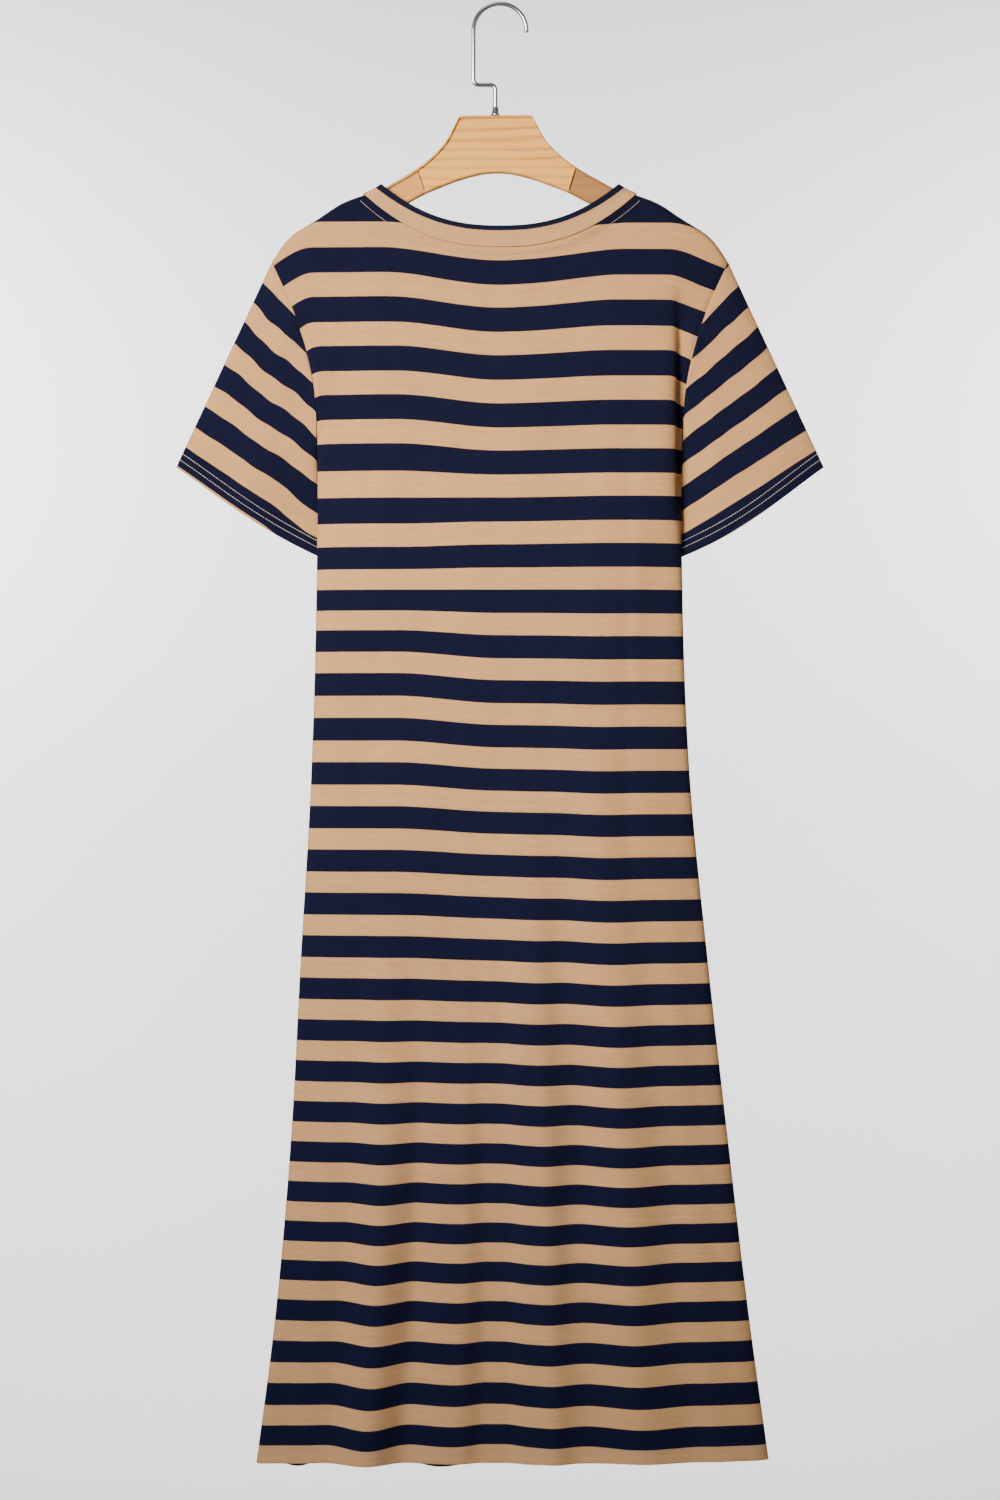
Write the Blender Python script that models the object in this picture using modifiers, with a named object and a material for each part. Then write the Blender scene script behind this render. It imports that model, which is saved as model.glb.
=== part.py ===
"""A striped t-shirt dress hanging on a wooden hanger with a wire hook.

Metres, +Z up. The origin is the inside top of the hook, where a rail carries it.
The back of the dress faces -Y, and the wearer's right side is at +X. A drop is a
distance measured down from the origin, so z = -drop.
"""
import math
from typing import NamedTuple

import bmesh
import bpy
import numpy as np
from mathutils import Matrix

MM = 0.001

# Cloth
CLOTH = 1.2 * MM
HEM_CLOTH = 2.4 * MM
BAND_CLOTH = 1.8 * MM
HEM_TURN = 20 * MM
HEM_STEP = 1.0 * MM
SEAM_GAP = 0.3 * MM
BAND_GAP = 0.7 * MM

# Shoulders and neck, measured on the hanging dress
TIP_X = 219 * MM
TIP_DROP = 246 * MM
NECK_X = 130 * MM
NECK_DROP = 181.5 * MM
NECK_DEPTH = 14 * MM
NECK_POWER = 2.4
NECK_FLATNESS = 0.14
BACK_NECK_DIP = 51 * MM
FRONT_NECK_DIP = 112 * MM
RIM_X = 113 * MM
RIM_DROP = 173.0 * MM
RIM_DEPTH = 14 * MM
BACK_RIM_DIP = 40 * MM
FRONT_RIM_DIP = 99 * MM
BAND_BULGE = 0.8 * MM

# Body
UNDERARM_DROP = 415 * MM
HEM_DROP = 1399 * MM
FRONT_HEM_EXTRA = 4 * MM
SHOULDER_ROLL = 5 * MM
ROLL_SHARE = 0.62
FIRST_ROW = 0.9 * MM
FILL_DROP = 120 * MM
BACK_ARMHOLE_DEPTH = 10 * MM
FRONT_ARMHOLE_DEPTH = 10 * MM
RIGHT_ARMHOLE_SET_BACK = 5 * MM

# Sleeves
CUFF_OUTER_X = 311 * MM
CUFF_OUTER_DROP = 443 * MM
CUFF_INNER_X = 166 * MM
CUFF_INNER_DROP = 532 * MM
CUFF_DEPTH = 6.5 * MM
SLEEVE_TUCK = 9.5 * MM
SLEEVE_TUCK_START = 0.35
SLEEVE_TUCK_END = 0.9
SLEEVE_BULGE = 1.6 * MM
UNDERARM_CLEARANCE = 0.9 * MM

# Number of steps in each direction of the cloth grids
NECK_STEPS = 24
SHOULDER_STEPS = 8
ARMHOLE_STEPS = 11
BODY_STEPS = 13
SLEEVE_STEPS = 6
BAND_STEPS = 2

# Hanger and hook
HANGER_X = -3.8 * MM
HANGER_DROP = 150 * MM
HANGER_TILT = math.radians(-0.65)
WOOD_THICK = 10.4 * MM
WOOD_EDGE = 2.4 * MM
WOOD_TOP_DROP = 105.6 * MM
WOOD_CORNER_X = 35 * MM
JOINT_TOP_X = 76.3 * MM
JOINT_BOTTOM_X = 68.6 * MM
ARM_END_X = 190 * MM
ARM_ROUND = 10 * MM
WIRE_RADIUS = 2.1 * MM
HOOK_RADIUS = 25.4 * MM
HOOK_STEM_X = -4.4 * MM
HOOK_STEP_DROP = 75.8 * MM
HOOK_BEND = 5 * MM
HOOK_TIP_FALL = 1.3 * MM
STEM_DEPTH = 14 * MM
HOLE_CLEARANCE = 0.5 * MM
FERRULE_BORE = WIRE_RADIUS + 0.35 * MM
FERRULE_NECK = 3.1 * MM
FERRULE_FLANGE = 4.2 * MM
FERRULE_FLANGE_TALL = 2.2 * MM
FERRULE_TALL = 8.2 * MM


class Section(NamedTuple):
    """One level of the body; lengths in millimetres."""

    drop: float
    half_width: float
    centre: float
    back: float
    front: float
    back_square: float
    front_square: float


SECTIONS = (
    Section(246, 219.0, 0.0, 14, 13, 8, 8),
    Section(288, 200.0, 0.0, 15, 13, 8, 7),
    Section(332, 185.5, 0.0, 16, 13, 7, 5),
    Section(378, 177.0, 0.0, 17, 12, 6, 3),
    Section(415, 175.7, 0.0, 17, 12, 5, 2.5),
    Section(560, 175.7, -0.5, 17, 13, 4, 2.5),
    Section(743, 182.0, 0.5, 17, 16, 4, 4),
    Section(916, 195.5, 4.0, 17, 18, 4, 4),
    Section(1089, 210.0, 9.0, 17, 20, 4, 4),
    Section(1261, 228.0, 11.5, 17, 21, 4, 4),
    Section(1399, 246.5, 12.0, 17, 22, 4, 4),
)

# Shoulder line of both sides: distance from the centre and drop, in millimetres
SHOULDER = ((130, 181.5), (152, 190), (175, 205), (188, 213), (200, 221),
            (207.5, 229), (213, 237), (219, 246))

# Outline of one half of the hanger: distance from its centre, drop of its upper
# and lower edge, in millimetres
HANGER_TOP = ((35, 105.6), (46, 126.7), (61.4, 144), (76.8, 156), (99.8, 169.7),
              (112, 176.6), (130, 185.4), (150, 195.5), (171, 207.0), (190, 220.8))
HANGER_BOTTOM = ((0, 162.7), (23, 163.5), (38.4, 168), (53.8, 173.8), (69.1, 180),
                 (84.5, 188.2), (110, 200), (150, 217), (190, 235))


class Fold(NamedTuple):
    """A soft ridge that grows towards the hem, across and down as shares."""

    place: float
    half_width: float
    depth: float
    start: float
    full: float


BACK_FOLDS = (
    Fold(-0.573, 0.17, 17 * MM, 0.52, 1.0),
    Fold(-0.243, 0.155, 8 * MM, 0.50, 1.0),
    Fold(0.137, 0.20, 11 * MM, 0.30, 0.85),
    Fold(0.50, 0.25, 10 * MM, 0.12, 0.9),
)
FRONT_FOLDS = (
    Fold(-0.66, 0.20, 13 * MM, 0.40, 1.0),
    Fold(-0.27, 0.18, 9 * MM, 0.50, 1.0),
    Fold(0.10, 0.19, 12 * MM, 0.34, 0.9),
    Fold(0.58, 0.24, 14 * MM, 0.22, 1.0),
)
FRONT_HEM_DIPS = (Fold(-0.27, 0.16, 10 * MM, 0, 1), Fold(-0.89, 0.08, 9 * MM, 0, 1))


class Panel(NamedTuple):
    """What differs between the back and the front; outward is the sign of y."""

    outward: int
    neck_dip: float
    rim_dip: float
    armhole_depth: float
    folds: tuple


BACK = Panel(-1, BACK_NECK_DIP, BACK_RIM_DIP, BACK_ARMHOLE_DEPTH, BACK_FOLDS)
FRONT = Panel(1, FRONT_NECK_DIP, FRONT_RIM_DIP, FRONT_ARMHOLE_DEPTH, FRONT_FOLDS)


def smooth_table(at, places, values):
    """Smooth curve through a table, with slopes taken from the neighbours."""
    places = np.asarray(places, float)
    values = np.asarray(values, float)
    slopes = np.gradient(values, places)
    low = np.clip(np.searchsorted(places, at) - 1, 0, len(places) - 2)
    step = places[low + 1] - places[low]
    t = np.clip((at - places[low]) / step, 0, 1)
    ease = t * t * (3 - 2 * t)
    bend_low = t * (1 - t) ** 2 * step * slopes[low]
    bend_high = t * t * (1 - t) * step * slopes[low + 1]
    return values[low] + ease * (values[low + 1] - values[low]) + bend_low - bend_high


def ease_in_out(t):
    """0 below 0, 1 above 1, smooth between."""
    t = np.clip(t, 0, 1)
    return t * t * (3 - 2 * t)


def quarter_round(t):
    """Height of a quarter circle at share t of its width."""
    return np.sqrt(1 - (1 - np.clip(t, 0, 1)) ** 2)


def section_value(drop, column):
    """One column of the section table, in the table's own units, at each drop."""
    rows = np.array(SECTIONS)
    return smooth_table(drop / MM, rows[:, 0], rows[:, Section._fields.index(column)])


def ridges(folds, across, down):
    """Sum of the folds at a place on the panel: cosine ridges that grow downwards."""
    total = np.zeros(np.broadcast(across, down).shape)
    for fold in folds:
        q = np.clip((across - fold.place) / fold.half_width, -1, 1)
        growth = ease_in_out((down - fold.start) / (fold.full - fold.start))
        total = total + fold.depth * np.cos(q * math.pi / 2) ** 2 * growth
    return total


def top_drop(panel, x):
    """Drop of a panel's top edge: neck curve inside, shoulder seam outside."""
    share = np.clip(x / NECK_X, 0, 1)
    neck = NECK_DROP + panel.neck_dip * (1 - share ** NECK_POWER)
    table = np.array(SHOULDER) * MM
    return np.where(x < NECK_X, neck, smooth_table(x, table[:, 0], table[:, 1]))


def armhole_share(down):
    """0 at the shoulder tip, 1 at the underarm and below."""
    underarm = (UNDERARM_DROP - TIP_DROP) / (HEM_DROP - TIP_DROP)
    return np.clip(down / underarm, 0, 1)


def armhole_edge(panel, across, share):
    """Depth of the armhole seam: a flattened oval, set back on the right side."""
    oval = panel.armhole_depth * np.sqrt(1 - np.abs(2 * share - 1) ** 4)
    right = ease_in_out(across)
    return oval + panel.outward * RIGHT_ARMHOLE_SET_BACK * right * np.sin(math.pi * share)


def panel_points(panel, across, down):
    """Outer surface of a panel.

    across runs from -1 at the -X side to 1, down from 0 at the top to 1 at the hem.
    Each level is a flattened half oval; it starts at the neck or shoulder edge,
    rolls over the shoulder, fills out, and carries the folds towards the hem.
    """
    top_x = TIP_X * np.abs(across)
    top = top_drop(panel, top_x)
    hem = HEM_DROP + 0 * across
    if panel.outward > 0:
        hem = hem + FRONT_HEM_EXTRA * (1 - np.abs(across) ** 6)
        hem = hem + ridges(FRONT_HEM_DIPS, across, 1.0)
    drop = top + (hem - top) * down
    level = TIP_DROP + (HEM_DROP - TIP_DROP) * down
    x = (section_value(level, "centre") + section_value(level, "half_width") * across) * MM
    side = "back" if panel.outward < 0 else "front"
    full = section_value(level, side) * MM
    square = section_value(level, side + "_square")
    neck = NECK_DEPTH * np.clip(1 - (top_x / NECK_X) ** 2, 0, 1) ** NECK_FLATNESS
    below = drop - top
    roll = full * ROLL_SHARE * quarter_round(below / SHOULDER_ROLL)
    start = np.maximum(neck, roll)
    middle = start + (full - start) * ease_in_out(below / FILL_DROP)
    middle = middle + ridges(panel.folds, across, down)
    share = armhole_share(down)
    edge = armhole_edge(panel, across, share)
    power = 1 - 0.5 * ease_in_out(share)
    profile = np.clip(1 - np.abs(across) ** square, 0, 1) ** power
    depth = edge + (middle - edge) * profile
    return np.stack([x, panel.outward * depth, -drop], axis=-1)


def panel_columns():
    """Places across a panel: close together at the neck points and the sides."""
    neck = NECK_X / TIP_X * np.sin(np.linspace(-math.pi / 2, math.pi / 2, NECK_STEPS + 1))
    t = np.linspace(0, 1, SHOULDER_STEPS + 1)[1:]
    side = NECK_X / TIP_X + (1 - NECK_X / TIP_X) * (1 - (1 - t) ** 1.6)
    return np.concatenate([-side[::-1], neck, side])


def panel_rows():
    """Places down a panel: armhole, body, and the two edges of the hem turn-up."""
    underarm = (UNDERARM_DROP - TIP_DROP) / (HEM_DROP - TIP_DROP)
    turn = HEM_TURN / (HEM_DROP - TIP_DROP)
    step = HEM_STEP / (HEM_DROP - TIP_DROP)
    t = np.linspace(0, math.pi, ARMHOLE_STEPS + 1)
    armhole = underarm * (1 - np.cos(t)) / 2
    armhole = np.insert(armhole, 1, FIRST_ROW / (HEM_DROP - TIP_DROP))
    body = np.linspace(underarm, 1 - turn - step, BODY_STEPS + 1)[1:]
    return np.concatenate([armhole, body, [1 - turn, 1]])


def panel_grid(panel):
    """Grid of a panel's outer points, rows downwards, columns so that it faces out."""
    columns = panel_columns()
    if panel.outward > 0:
        columns = columns[::-1]
    across, down = np.meshgrid(columns, panel_rows())
    return panel_points(panel, across, down)


def sleeve_grid(back, front, side):
    """Outer points of a sleeve: a loft from the armhole ring to the flattened cuff.

    Rows run round the sleeve, columns from the armhole to the cuff. The lower inner
    part first goes back and then inwards, so that it passes behind the body's side.
    """
    edge = -1 if side > 0 else 0
    last = ARMHOLE_STEPS + 1
    ring = np.concatenate([back[:last + 1, edge], front[last - 1:0:-1, -1 - edge]])
    rows = armhole_share(panel_rows())
    share = np.concatenate([rows[:last + 1], rows[last - 1:0:-1]])
    face = np.concatenate([-np.ones(last + 1), np.ones(last - 1)])
    cuff_x = side * (CUFF_OUTER_X + (CUFF_INNER_X - CUFF_OUTER_X) * share)
    cuff_drop = CUFF_OUTER_DROP + (CUFF_INNER_DROP - CUFF_OUTER_DROP) * share
    tuck_share = (share - SLEEVE_TUCK_START) / (SLEEVE_TUCK_END - SLEEVE_TUCK_START)
    cuff_y = (SLEEVE_TUCK * ease_in_out(tuck_share)
              + face * CUFF_DEPTH * np.sqrt(1 - np.abs(2 * share - 1) ** 3))
    cuff = np.stack([cuff_x, cuff_y, -cuff_drop], axis=-1)
    length = np.linalg.norm(cuff - ring, axis=1)
    turn = 1 - HEM_TURN / length
    upper = np.linspace(0, 1, SLEEVE_STEPS + 1)[None, :] * (turn - HEM_STEP / length)[:, None]
    t = np.concatenate([upper, turn[:, None], np.ones((len(turn), 1))], axis=1)
    lower = share[:, None] ** 6
    late = t + lower * (t ** 3 - t)
    early = t + lower * (1 - (1 - t) ** 3 - t)
    grid = ring[:, None] + (cuff - ring)[:, None] * np.stack([late, early, t], axis=-1)
    grid[..., 0] += side * SLEEVE_BULGE * lower * 4 * t * (1 - t)
    if side < 0:
        grid = np.roll(grid[::-1], 1, axis=0)
    return grid


def underarm_shift(side):
    """Small step outwards that keeps the lower part of a sleeve clear of the body."""
    rows = armhole_share(panel_rows())[:ARMHOLE_STEPS + 2]
    share = np.concatenate([rows, rows[-2:0:-1]])
    if side < 0:
        share = np.roll(share[::-1], 1)
    return share[:, None, None] ** 6 * np.array([side * UNDERARM_CLEARANCE, 0, 0])


def band_grid(back, front):
    """Outer points of the neckband: rows from the folded rim down to the neck seam."""
    columns = panel_columns() * TIP_X
    inside = np.abs(columns) <= NECK_X + SEAM_GAP
    seam = np.concatenate([back[0, inside][:-1], front[0, inside[::-1]][:-1]])
    half = NECK_STEPS
    angle = np.linspace(-math.pi / 2, math.pi / 2, half + 1)[:-1]
    share = np.abs(np.sin(angle))
    rims = []
    for panel in (BACK, FRONT):
        x = -panel.outward * RIM_X * np.sin(angle)
        drop = RIM_DROP + panel.rim_dip * (1 - share ** NECK_POWER)
        y = panel.outward * RIM_DEPTH * (1 - share ** 2) ** NECK_FLATNESS
        rims.append(np.stack([x, y, -drop], axis=-1))
    rim = np.concatenate(rims)
    t = np.linspace(0, 1, BAND_STEPS + 1)[:, None, None]
    grid = rim[None] + (seam - rim)[None] * t
    middle = grid.mean(axis=(0, 1))
    outward = grid - middle
    outward[..., 0] = 0
    outward[..., 2] = 0
    outward /= np.maximum(np.linalg.norm(outward, axis=-1, keepdims=True), 4 * MM)
    return grid + outward * BAND_BULGE * 4 * t * (1 - t)


def quads(rows, columns, round_rows=False, round_columns=False):
    """Corner indices of a grid's faces; a round direction closes on itself."""
    r = np.arange(rows if round_rows else rows - 1)
    c = np.arange(columns if round_columns else columns - 1)
    r, c = np.meshgrid(r, c, indexing="ij")
    r2, c2 = (r + 1) % rows, (c + 1) % columns
    corners = [r * columns + c, r2 * columns + c, r2 * columns + c2, r * columns + c2]
    return np.stack([corner.ravel() for corner in corners], axis=-1)


class Cloth(NamedTuple):
    """A piece of cloth: outer grid, faces, thickness at each point, and sewn edges."""

    name: str
    grid: np.ndarray
    faces: np.ndarray
    thickness: np.ndarray
    seams: tuple
    ring: bool
    gap: float = SEAM_GAP
    shift: object = 0.0


def shared_normals(cloths):
    """Normals of all pieces together, so that neighbours meet in a mitre at seams."""
    points = np.concatenate([cloth.grid.reshape(-1, 3) for cloth in cloths])
    keys = np.round(points / (0.01 * MM)).astype(int)
    _, index = np.unique(keys, axis=0, return_inverse=True)
    index = index.reshape(-1)
    total = np.zeros((index.max() + 1, 3))
    start = 0
    for cloth in cloths:
        corners = cloth.grid.reshape(-1, 3)[cloth.faces]
        across = corners[:, 2] - corners[:, 0]
        along = corners[:, 3] - corners[:, 1]
        normal = np.cross(across, along)
        normal /= np.maximum(np.linalg.norm(normal, axis=1, keepdims=True), 1e-12)
        for corner in range(4):
            np.add.at(total, index[start + cloth.faces[:, corner]], normal)
        start += len(cloth.grid.reshape(-1, 3))
    total /= np.linalg.norm(total, axis=1, keepdims=True)
    normals = total[index]
    split = np.cumsum([cloth.grid.reshape(-1, 3).shape[0] for cloth in cloths])[:-1]
    return [part.reshape(cloth.grid.shape)
            for part, cloth in zip(np.split(normals, split), cloths)]


def pull_back(cloth, normals):
    """Move the sewn edges half a seam gap into the piece, square to the seam."""
    moved = cloth.grid.copy()
    lines = {"top": ((0,), (1,)), "bottom": ((-1,), (-2,)),
             "first": ((slice(None), 0), (slice(None), 1)),
             "last": ((slice(None), -1), (slice(None), -2))}
    for edge in cloth.seams:
        here, inside = lines[edge]
        line = cloth.grid[here]
        tangent = np.gradient(line, axis=0)
        if cloth.ring:
            tangent = np.roll(line, -1, axis=0) - np.roll(line, 1, axis=0)
        direction = np.cross(normals[here], tangent)
        direction /= np.linalg.norm(direction, axis=-1, keepdims=True)
        inward = np.sum(direction * (cloth.grid[inside] - line), axis=-1, keepdims=True)
        moved[here] += np.sign(inward) * direction * cloth.gap / 2
    return moved + cloth.shift


def finish(name, color, roughness, metallic=0.0, smooth_angle=40):
    """Name the material of an object after it, and shade its round parts smooth."""
    obj = bpy.data.objects[name]
    material = bpy.data.materials.new(name + "_finish")
    material.use_nodes = True
    shader = material.node_tree.nodes["Principled BSDF"]
    shader.inputs["Base Color"].default_value = (*color, 1)
    shader.inputs["Roughness"].default_value = roughness
    shader.inputs["Metallic"].default_value = metallic
    obj.data.materials.append(material)
    if obj.type == "MESH":
        obj.data.shade_smooth()
        obj.data.set_sharp_from_angle(angle=math.radians(smooth_angle))
    return obj


def link(obj, collection, parent=None):
    """Put an object in a collection, under a parent if there is one."""
    collection.objects.link(obj)
    obj.parent = parent
    return obj


def make_wall(cloth, outer, normals, collection):
    """Closed wall of cloth: outer face, inner face moved in, and rims between them."""
    thickness = np.broadcast_to(cloth.thickness, outer.shape[:2])[..., None]
    inner = outer - normals * thickness
    count = outer.shape[0] * outer.shape[1]
    faces = [tuple(map(int, face)) for face in cloth.faces]
    sides = {(face[i], face[(i + 1) % 4]) for face in faces for i in range(4)}
    rims = sorted(side for side in sides if side[::-1] not in sides)
    lining = [tuple(index + count for index in face[::-1]) for face in faces]
    edges = [(b, a, a + count, b + count) for a, b in rims]
    mesh = bpy.data.meshes.new(cloth.name)
    points = np.concatenate([outer.reshape(-1, 3), inner.reshape(-1, 3)])
    mesh.from_pydata(points.tolist(), [], faces + lining + edges)
    return link(bpy.data.objects.new(cloth.name, mesh), collection)


def make_dress(collection):
    """Back, front, sleeves and neckband, worked out together so that they fit."""
    back, front = panel_grid(BACK), panel_grid(FRONT)
    panel_faces = quads(*back.shape[:2])
    panel_cloth = np.full((back.shape[0], 1), CLOTH)
    panel_cloth[-2:] = HEM_CLOTH
    left, right = sleeve_grid(back, front, -1), sleeve_grid(back, front, 1)
    sleeve_faces = quads(*left.shape[:2], round_rows=True)
    sleeve_cloth = np.full((1, left.shape[1]), CLOTH)
    sleeve_cloth[:, -2:] = HEM_CLOTH
    band = band_grid(back, front)
    band_faces = quads(*band.shape[:2], round_columns=True)
    panel_seams = ("top", "first", "last")
    band_cloth = np.full((1, 1), BAND_CLOTH)
    cloths = [
        Cloth("back_panel", back, panel_faces, panel_cloth, panel_seams, False),
        Cloth("front_panel", front, panel_faces, panel_cloth, panel_seams, False),
        Cloth("sleeve_left", left, sleeve_faces, sleeve_cloth, ("first",), True,
              shift=underarm_shift(-1)),
        Cloth("sleeve_right", right, sleeve_faces, sleeve_cloth, ("first",), True,
              shift=underarm_shift(1)),
        Cloth("neckband", band, band_faces, band_cloth, ("bottom",), True, BAND_GAP),
    ]
    for cloth, normals in zip(cloths, shared_normals(cloths)):
        make_wall(cloth, pull_back(cloth, normals), normals, collection)
    for name in ("back_panel", "front_panel", "neckband"):
        finish(name, (0.50, 0.33, 0.21), 0.75)
    for name in ("sleeve_left", "sleeve_right"):
        finish(name, (0.012, 0.018, 0.05), 0.7)


def hanger_outline(table, x):
    """Drop of the hanger's edge at a distance from its centre."""
    table = np.array(table) * MM
    return smooth_table(np.abs(x), table[:, 0], table[:, 1])


def make_board(name, outline, rounded, collection, parent):
    """A flat wooden piece; rounded holds the numbers of the outline's rounded sides."""
    bm = bmesh.new()
    points = [bm.verts.new((x, -WOOD_THICK / 2, HANGER_DROP - drop)) for x, drop in outline]
    face = bm.faces.new(points)
    made = bmesh.ops.extrude_face_region(bm, geom=[face])
    far = [item for item in made["geom"] if isinstance(item, bmesh.types.BMVert)]
    bmesh.ops.translate(bm, verts=far, vec=(0, WOOD_THICK, 0))
    bmesh.ops.recalc_face_normals(bm, faces=bm.faces)
    weight = bm.edges.layers.float.new("bevel_weight_edge")
    round_sides = {frozenset((outline[i], outline[(i + 1) % len(outline)])) for i in rounded}
    for edge in bm.edges:
        ends = [(round(v.co.x, 7), round(HANGER_DROP - v.co.z, 7)) for v in edge.verts]
        same_face = abs(edge.verts[0].co.y - edge.verts[1].co.y) < WOOD_THICK / 2
        edge[weight] = 1.0 if same_face and frozenset(ends) in round_sides else 0.0
    mesh = bpy.data.meshes.new(name)
    bm.to_mesh(mesh)
    bm.free()
    board = link(bpy.data.objects.new(name, mesh), collection, parent)
    bevel = board.modifiers.new("rounded_edges", "BEVEL")
    bevel.limit_method = "WEIGHT"
    bevel.width = WOOD_EDGE
    bevel.segments = 2
    return board


def rounded_pairs(xs, drops):
    """Outline points, rounded so that they can be found again on the mesh."""
    return [(round(float(x), 7), round(float(drop), 7)) for x, drop in zip(xs, drops)]


def make_hanger(collection, cutters):
    """Centre block and two arms of a flat wooden hanger, glued at slanted joints."""
    centre = bpy.data.objects.new("hanger", None)
    link(centre, collection)
    centre.location = (HANGER_X, 0, -HANGER_DROP)
    centre.rotation_euler = (0, HANGER_TILT, 0)
    half_gap = SEAM_GAP / 2

    slope = np.linspace(WOOD_CORNER_X, JOINT_TOP_X - half_gap, 7)
    top_x = np.concatenate([-slope[::-1], slope])
    bottom_x = np.linspace(JOINT_BOTTOM_X - half_gap, -JOINT_BOTTOM_X + half_gap, 13)
    top = rounded_pairs(top_x, hanger_outline(HANGER_TOP, top_x))
    bottom = rounded_pairs(bottom_x, hanger_outline(HANGER_BOTTOM, bottom_x))
    rounded = [i for i in range(len(top) + len(bottom)) if i not in
               (len(top) - 1, len(top) + len(bottom) - 1)]
    block = make_board("hanger_centre", top + bottom, rounded, collection, centre)
    drill_stem_hole(block, cutters)

    top_x = np.linspace(JOINT_TOP_X + half_gap, ARM_END_X - ARM_ROUND, 9)
    bottom_x = np.linspace(ARM_END_X - ARM_ROUND, JOINT_BOTTOM_X + half_gap, 9)
    angle = np.linspace(math.pi / 2, -math.pi / 2, 7)[1:-1]
    upper, lower = (hanger_outline(table, ARM_END_X - ARM_ROUND)
                    for table in (HANGER_TOP, HANGER_BOTTOM))
    middle, half = (upper + lower) / 2, (lower - upper) / 2
    end_x = ARM_END_X - ARM_ROUND + ARM_ROUND * np.cos(angle)
    end_drop = middle - half * np.sin(angle)
    xs = np.concatenate([top_x, end_x, bottom_x])
    drops = np.concatenate([hanger_outline(HANGER_TOP, top_x), end_drop,
                            hanger_outline(HANGER_BOTTOM, bottom_x)])
    for name, side in (("hanger_arm_left", -1), ("hanger_arm_right", 1)):
        outline = rounded_pairs(side * xs, drops)
        make_board(name, outline, range(len(outline) - 1), collection, centre)

    finish("hanger_centre", (0.77, 0.51, 0.28), 0.45)
    for name in ("hanger_arm_left", "hanger_arm_right"):
        finish(name, (0.66, 0.40, 0.21), 0.45)


def drill_stem_hole(block, cutters):
    """Blind hole for the hook's stem in the top of the centre block."""
    bm = bmesh.new()
    depth = STEM_DEPTH + HOLE_CLEARANCE
    lift = Matrix.Translation((HOOK_STEM_X, 0, -WOOD_TOP_DROP))
    bmesh.ops.create_cone(bm, cap_ends=True, segments=16, radius1=WIRE_RADIUS + HOLE_CLEARANCE,
                          radius2=WIRE_RADIUS + HOLE_CLEARANCE, depth=2 * depth, matrix=lift)
    mesh = bpy.data.meshes.new("stem_hole")
    bm.to_mesh(mesh)
    bm.free()
    cutter = link(bpy.data.objects.new("stem_hole", mesh), cutters)
    cutter.hide_render = True
    cutter.display_type = "WIRE"
    cut = block.modifiers.new("stem_hole", "BOOLEAN")
    cut.object = cutter
    cut.operation = "DIFFERENCE"


def arc(centre_x, centre_drop, radius, start, end, steps):
    """Points along an arc; angles in degrees, 0 towards +X and 90 upwards."""
    angles = np.radians(np.linspace(start, end, steps + 1))
    return [(centre_x + radius * math.cos(a), centre_drop - radius * math.sin(a))
            for a in angles]


def hook_route():
    """Centre line of the hook: stem, step to the side, riser, round crown and tip."""
    riser_x = -HOOK_RADIUS
    crown_drop = HOOK_RADIUS - WIRE_RADIUS
    bend_drop = HOOK_STEP_DROP + HOOK_BEND
    route = [(HOOK_STEM_X, WOOD_TOP_DROP + STEM_DEPTH)]
    route += arc(HOOK_STEM_X - HOOK_BEND, bend_drop, HOOK_BEND, 0, 90, 4)
    route += arc(riser_x + HOOK_BEND, HOOK_STEP_DROP - HOOK_BEND, HOOK_BEND, 270, 180, 4)
    route += arc(0, crown_drop, HOOK_RADIUS, 180, 0, 18)
    route.append((HOOK_RADIUS, crown_drop + HOOK_TIP_FALL))
    return route


def make_hook(collection):
    """Bent wire hook; the rail lies under its crown."""
    curve = bpy.data.curves.new("hanger_hook", "CURVE")
    curve.dimensions = "3D"
    curve.bevel_depth = WIRE_RADIUS
    curve.bevel_resolution = 2
    curve.use_fill_caps = True
    route = hook_route()
    spline = curve.splines.new("POLY")
    spline.points.add(len(route) - 1)
    for point, (x, drop) in zip(spline.points, route):
        point.co = (x, 0, -drop, 1)
    link(bpy.data.objects.new("hanger_hook", curve), collection)
    finish("hanger_hook", (0.62, 0.62, 0.62), 0.2, metallic=1.0)


def make_ferrule(collection):
    """Turned collar round the stem: a flange on the wood under a short neck."""
    seat = 0.3 * MM
    edge = 0.5 * MM
    profile = ((FERRULE_BORE, FERRULE_TALL), (FERRULE_NECK - edge, FERRULE_TALL),
               (FERRULE_NECK, FERRULE_TALL - edge), (FERRULE_NECK, FERRULE_FLANGE_TALL + edge),
               (FERRULE_FLANGE - edge, FERRULE_FLANGE_TALL),
               (FERRULE_FLANGE, FERRULE_FLANGE_TALL - edge), (FERRULE_FLANGE, seat),
               (FERRULE_BORE, seat))
    mesh = bpy.data.meshes.new("hook_ferrule")
    corners = [(radius, 0, height) for radius, height in profile]
    sides = [(i, (i + 1) % len(corners)) for i in range(len(corners))]
    mesh.from_pydata(corners, sides, [])
    ferrule = link(bpy.data.objects.new("hook_ferrule", mesh), collection)
    ferrule.location = (HOOK_STEM_X, 0, -WOOD_TOP_DROP)
    screw = ferrule.modifiers.new("turned", "SCREW")
    screw.steps = 20
    screw.render_steps = 20
    screw.use_merge_vertices = True
    screw.merge_threshold = 0.00001
    finish("hook_ferrule", (0.62, 0.62, 0.62), 0.25, metallic=1.0)


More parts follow.
